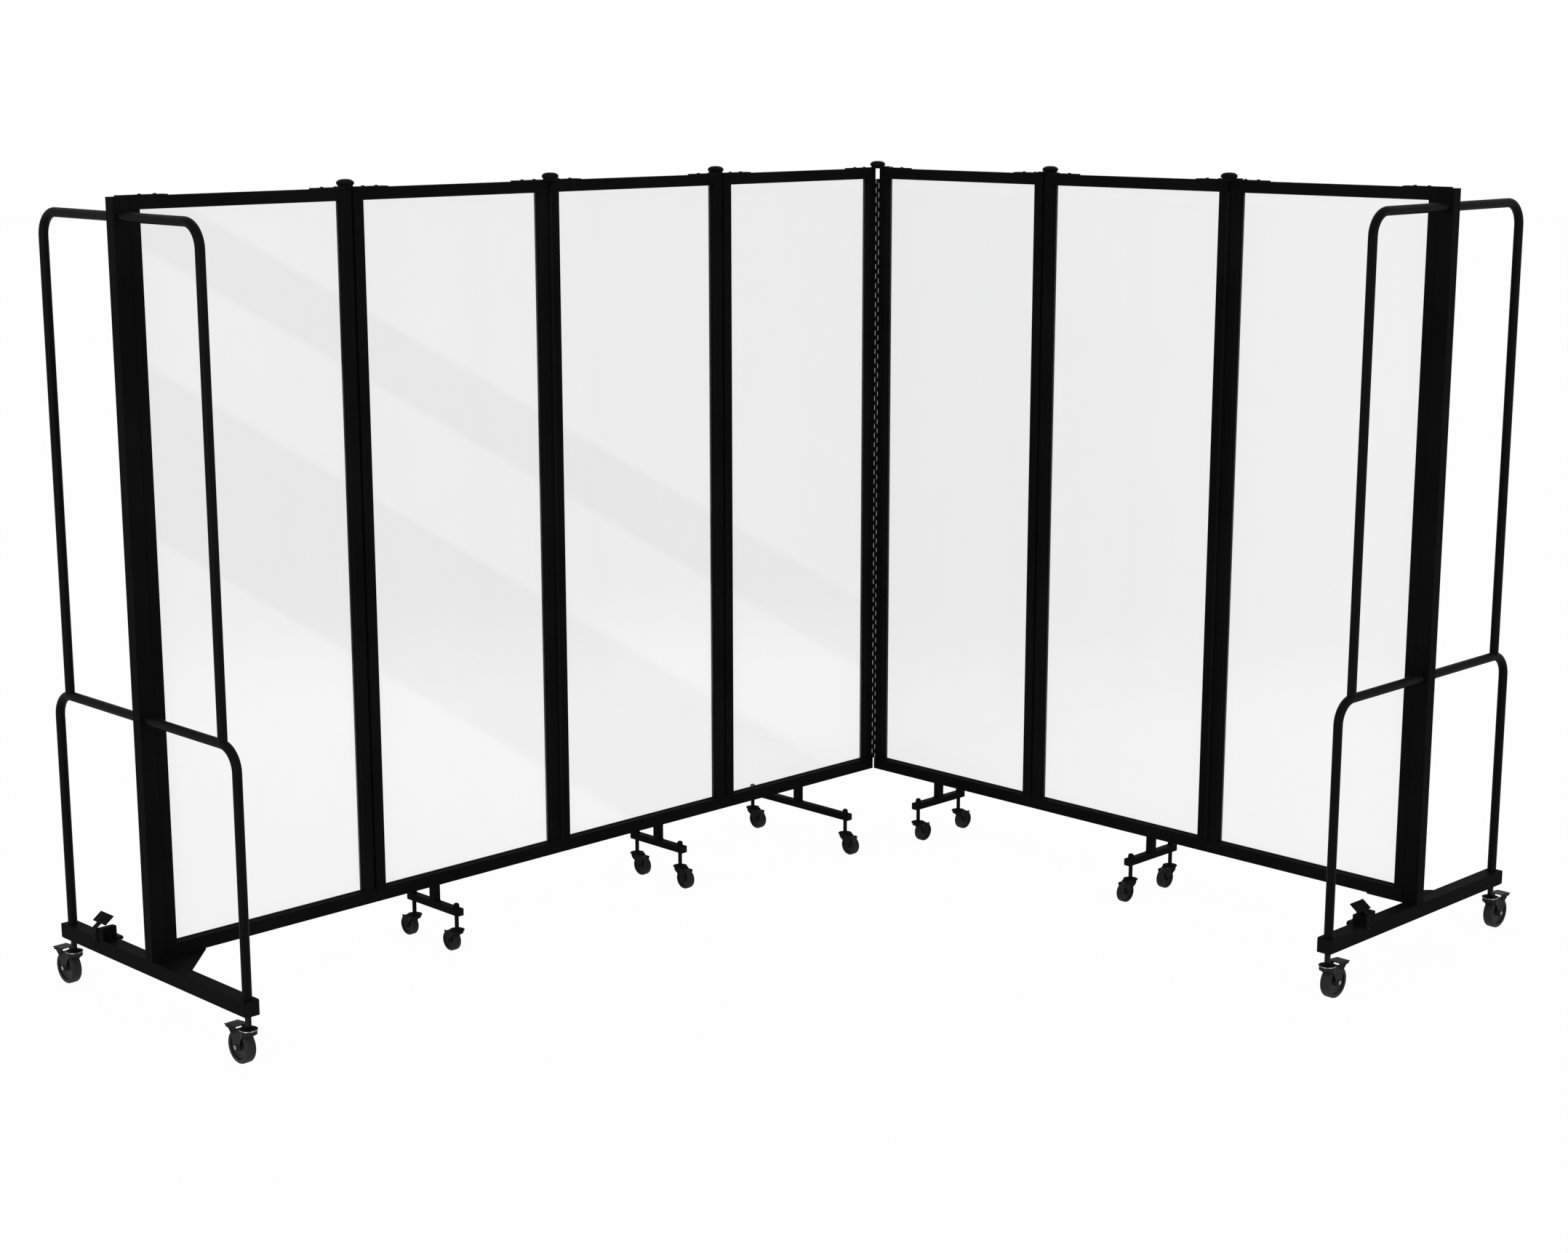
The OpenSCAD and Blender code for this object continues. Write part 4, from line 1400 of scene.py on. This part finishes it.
@dataclass
class EndFrames:
    """The two end posts with their feet, guard loops, latches, plugs and welds."""

    layout: Layout
    finishes: Finishes
    fasteners: FastenerField
    beads: BeadField
    foot_bottom: float = 0.1132
    foot_top: float = 0.1468
    foot_setback: float = 0.0004
    foot_width: float = 0.0349
    plug_inset: float = 0.0003
    plug_sunk: float = 0.0004
    plug_proud: float = 0.0012
    plug_bevel: float = 0.0007
    bolt_across: float = 0.0062
    bolt_height: float = 0.0016
    bolt_rise: float = 0.0115
    post_front: float = 0.001
    post_back: float = 0.028
    weld_inset: float = 0.0005
    bead: float = 0.0014

    def build(self) -> None:
        """Dresses both ends and adds their pieces."""
        bolt = bolt_head("latch_bolt", self.bolt_across, self.bolt_height)
        for end in End:
            name = end.value
            body = "panel_1" if end is End.LEFT else f"panel_{PANELS}"
            dress(f"end_frame_{name}", self.finishes.frame)
            dress(f"guard_loops_{name}", self.finishes.tube)
            dress(f"latch_lever_{name}", self.finishes.hinge)
            self._plugs(end, body)
            self._bolts(end, bolt)
            self._welds(end, body)
            LOG.info("%s end finished", name)
        bpy.data.objects.remove(bolt)

    def _local_box(self, node: str, end: End) -> tuple[Vector, Vector]:
        """Gives a node's box in its end's own frame.

        Args:
            node: the node's name.
            end: the end that it belongs to.

        Returns:
            The lowest and the highest corner.
        """
        inverse = self.layout.end_matrix(end).inverted()
        a, b = (inverse @ Vector(corner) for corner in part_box(node))
        return Vector(map(min, a, b)), Vector(map(max, a, b))

    def _plugs(self, end: End, body: str) -> None:
        """Closes both ends of the foot with moulded plugs.

        Args:
            end: which end.
            body: the body that carries the foot.
        """
        low, high = self._local_box(f"end_frame_{end.value}", end)
        place = self.layout.end_matrix(end)
        x0, inset = low.x + self.foot_setback, self.plug_inset
        draft = bmesh.new()
        for face, out in ((low.y, -1.0), (high.y, 1.0)):
            y0, y1 = sorted((face - out * self.plug_sunk, face + out * self.plug_proud))
            corner = Vector((x0 + inset, y0, self.foot_bottom + inset))
            other = Vector((x0 + self.foot_width - inset, y1, self.foot_top - inset))
            add_block(draft, corner, other, place, self.plug_bevel)
        finish_piece(f"foot_plugs_{end.value}", draft, [self.finishes.plug], body)

    def _bolts(self, end: End, bolt: bpy.types.Object) -> None:
        """Puts the two bolts on the outer face of the latch strip.

        Args:
            end: which end.
            bolt: the head to repeat.
        """
        low, _ = self._local_box(f"latch_lever_{end.value}", end)
        place = self.layout.end_matrix(end)
        shaft = place.inverted() @ joint_point(f"latch_{end.value}")
        out = place.to_3x3() @ Vector((-1.0, 0.0, 0.0))
        heights = (shaft.z, shaft.z + self.bolt_rise)
        places = [(place @ Vector((low.x, shaft.y, z)), out) for z in heights]
        self.fasteners.piece(f"latch_bolts_{end.value}", f"latch_lever_{end.value}",
                             "black_hinge", bolt, self.finishes.hinge, places)

    def _welds(self, end: End, body: str) -> None:
        """Runs beads where the post meets the foot.

        Args:
            end: which end.
            body: the body that carries the post.
        """
        low, _ = self._local_box(f"end_frame_{end.value}", end)
        place = self.layout.end_matrix(end)
        x0 = low.x + self.foot_setback + self.weld_inset
        x1 = x0 + self.foot_width - 2.0 * self.weld_inset
        paths = [
            [place @ Vector((x, y, self.foot_top)) for x in (x0, x1)]
            for y in (self.post_front, self.post_back)
        ]
        self.beads.piece(f"post_welds_{end.value}", body, "black_frame", self.finishes.frame,
                         paths, self.bead)


@dataclass(frozen=True)
class Studio:
    """White studio: pale floor, even sky, soft lamps and the photograph's camera."""

    layout: Layout
    focal_pixels: float = 3592.4
    camera_from_corner: Point = (-5.1033, -4.7549, 2.0299)
    pitch_down: float = 12.01
    yaw: float = 45.0
    floor_size: float = 60.0
    floor_drop: float = 0.0005
    floor_white: float = 0.97
    sky_light: float = 0.65
    lamp_target: Point = (0.0, 0.0, 0.9)
    lamps: tuple[tuple[str, Point, float, float], ...] = (
        ("top", (-0.8, -0.6, 4.6), 3.2, 15.0),
        ("left", (-5.5, -1.2, 0.9), 2.6, 110.0),
        ("right", (0.0, -6.0, 1.6), 2.6, 70.0),
    )

    def build(self) -> None:
        """Makes the camera, the floor, the sky and the lamps."""
        self._camera()
        self._floor()
        self._sky()
        for name, at, side, power in self.lamps:
            self._lamp(name, at, side, power)
        LOG.info("studio ready")

    def _camera(self) -> None:
        """Places the camera where the photograph was seen from."""
        data = bpy.data.cameras.new("camera")
        data.sensor_fit = "HORIZONTAL"
        data.sensor_width = SENSOR_WIDTH
        data.lens = SENSOR_WIDTH * self.focal_pixels / PHOTO_WIDTH
        data.clip_start, data.clip_end = 0.1, 200.0
        camera = bpy.data.objects.new("camera", data)
        bpy.context.scene.collection.objects.link(camera)
        camera.location = self.layout.corner + Vector(self.camera_from_corner)
        camera.rotation_euler = (math.radians(90.0 - self.pitch_down), 0.0, math.radians(-self.yaw))
        bpy.context.scene.camera = camera

    @staticmethod
    def _seen(tree: ShaderTree) -> Value:
        """Gives 1 for rays that show the background, directly, in a gloss or through a pane.

        Args:
            tree: the tree that asks.

        Returns:
            The mask.
        """
        path = tree.node("ShaderNodeLightPath", {}, {})
        rays = ("Is Camera Ray", "Is Glossy Ray", "Is Transmission Ray")
        camera, glossy, through = (Value(tree, path.outputs[ray]) for ray in rays)
        return (camera + glossy + through).limit(0.0, 1.0)

    def _floor(self) -> None:
        """Lays a plain floor that shows white and keeps a faint shadow."""
        draft = bmesh.new()
        half = self.floor_size / 2.0
        corners = [(-half, -half), (half, -half), (half, half), (-half, half)]
        draft.faces.new([draft.verts.new((x, y, -self.floor_drop)) for x, y in corners])
        floor = new_object("floor", mesh_of("floor", draft, smooth=False))
        material = bpy.data.materials.new("floor_white")
        tree = ShaderTree(material)
        cloud = tree.noise(tree.object_point(), 0.8, 2.0)
        colour = tree.mix(cloud, grey(0.8), grey(0.84))
        matt = tree.node("ShaderNodeBsdfDiffuse", {}, {"Color": colour})
        white = tree.node("ShaderNodeEmission", {}, {"Color": grey(1.0), "Strength": 1.0})
        shown = self._seen(tree) * self.floor_white
        inputs = {0: shown, 1: matt.outputs[0], 2: white.outputs[0]}
        blend = tree.node("ShaderNodeMixShader", {}, inputs)
        tree.node("ShaderNodeOutputMaterial", {}, {"Surface": blend.outputs[0]})
        floor.data.materials.append(material)

    def _sky(self) -> None:
        """Makes the world white where it is seen and softer as a light."""
        world = bpy.data.worlds.new("sky")
        bpy.context.scene.world = world
        tree = ShaderTree(world)
        strength = self._seen(tree) * (1.0 - self.sky_light) + self.sky_light
        sky = tree.node("ShaderNodeBackground", {}, {"Color": grey(1.0), "Strength": strength})
        tree.node("ShaderNodeOutputWorld", {}, {"Surface": sky.outputs[0]})

    def _lamp(self, name: str, at: Point, side: float, power: float) -> None:
        """Hangs a square soft lamp that faces the middle of the divider.

        Args:
            name: the lamp's name.
            at: its place.
            side: its side.
            power: its power in watts.
        """
        data = bpy.data.lights.new(name, "AREA")
        data.size, data.energy = side, power
        lamp = bpy.data.objects.new(name, data)
        bpy.context.scene.collection.objects.link(lamp)
        lamp.location = at
        towards = Vector(self.lamp_target) - Vector(at)
        lamp.rotation_euler = towards.to_track_quat("-Z", "Y").to_euler()


def main() -> None:
    """Builds the looks in order."""
    logging.basicConfig(level=logging.INFO, format="%(name)s: %(message)s")
    bpy.context.scene.view_settings.view_transform = "Standard"
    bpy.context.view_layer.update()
    layout = Layout.from_frame()
    Studio(layout).build()
    finishes = Finishes()
    fasteners, threads, beads = FastenerField(), ThreadField(), BeadField()
    Panels(layout, finishes, fasteners).build()
    TFeet(layout, finishes, beads).build()
    Castors(finishes, fasteners, threads).build()
    EndFrames(layout, finishes, fasteners, beads).build()
    LOG.info("boxes written")


if __name__ == "__main__":
    main()
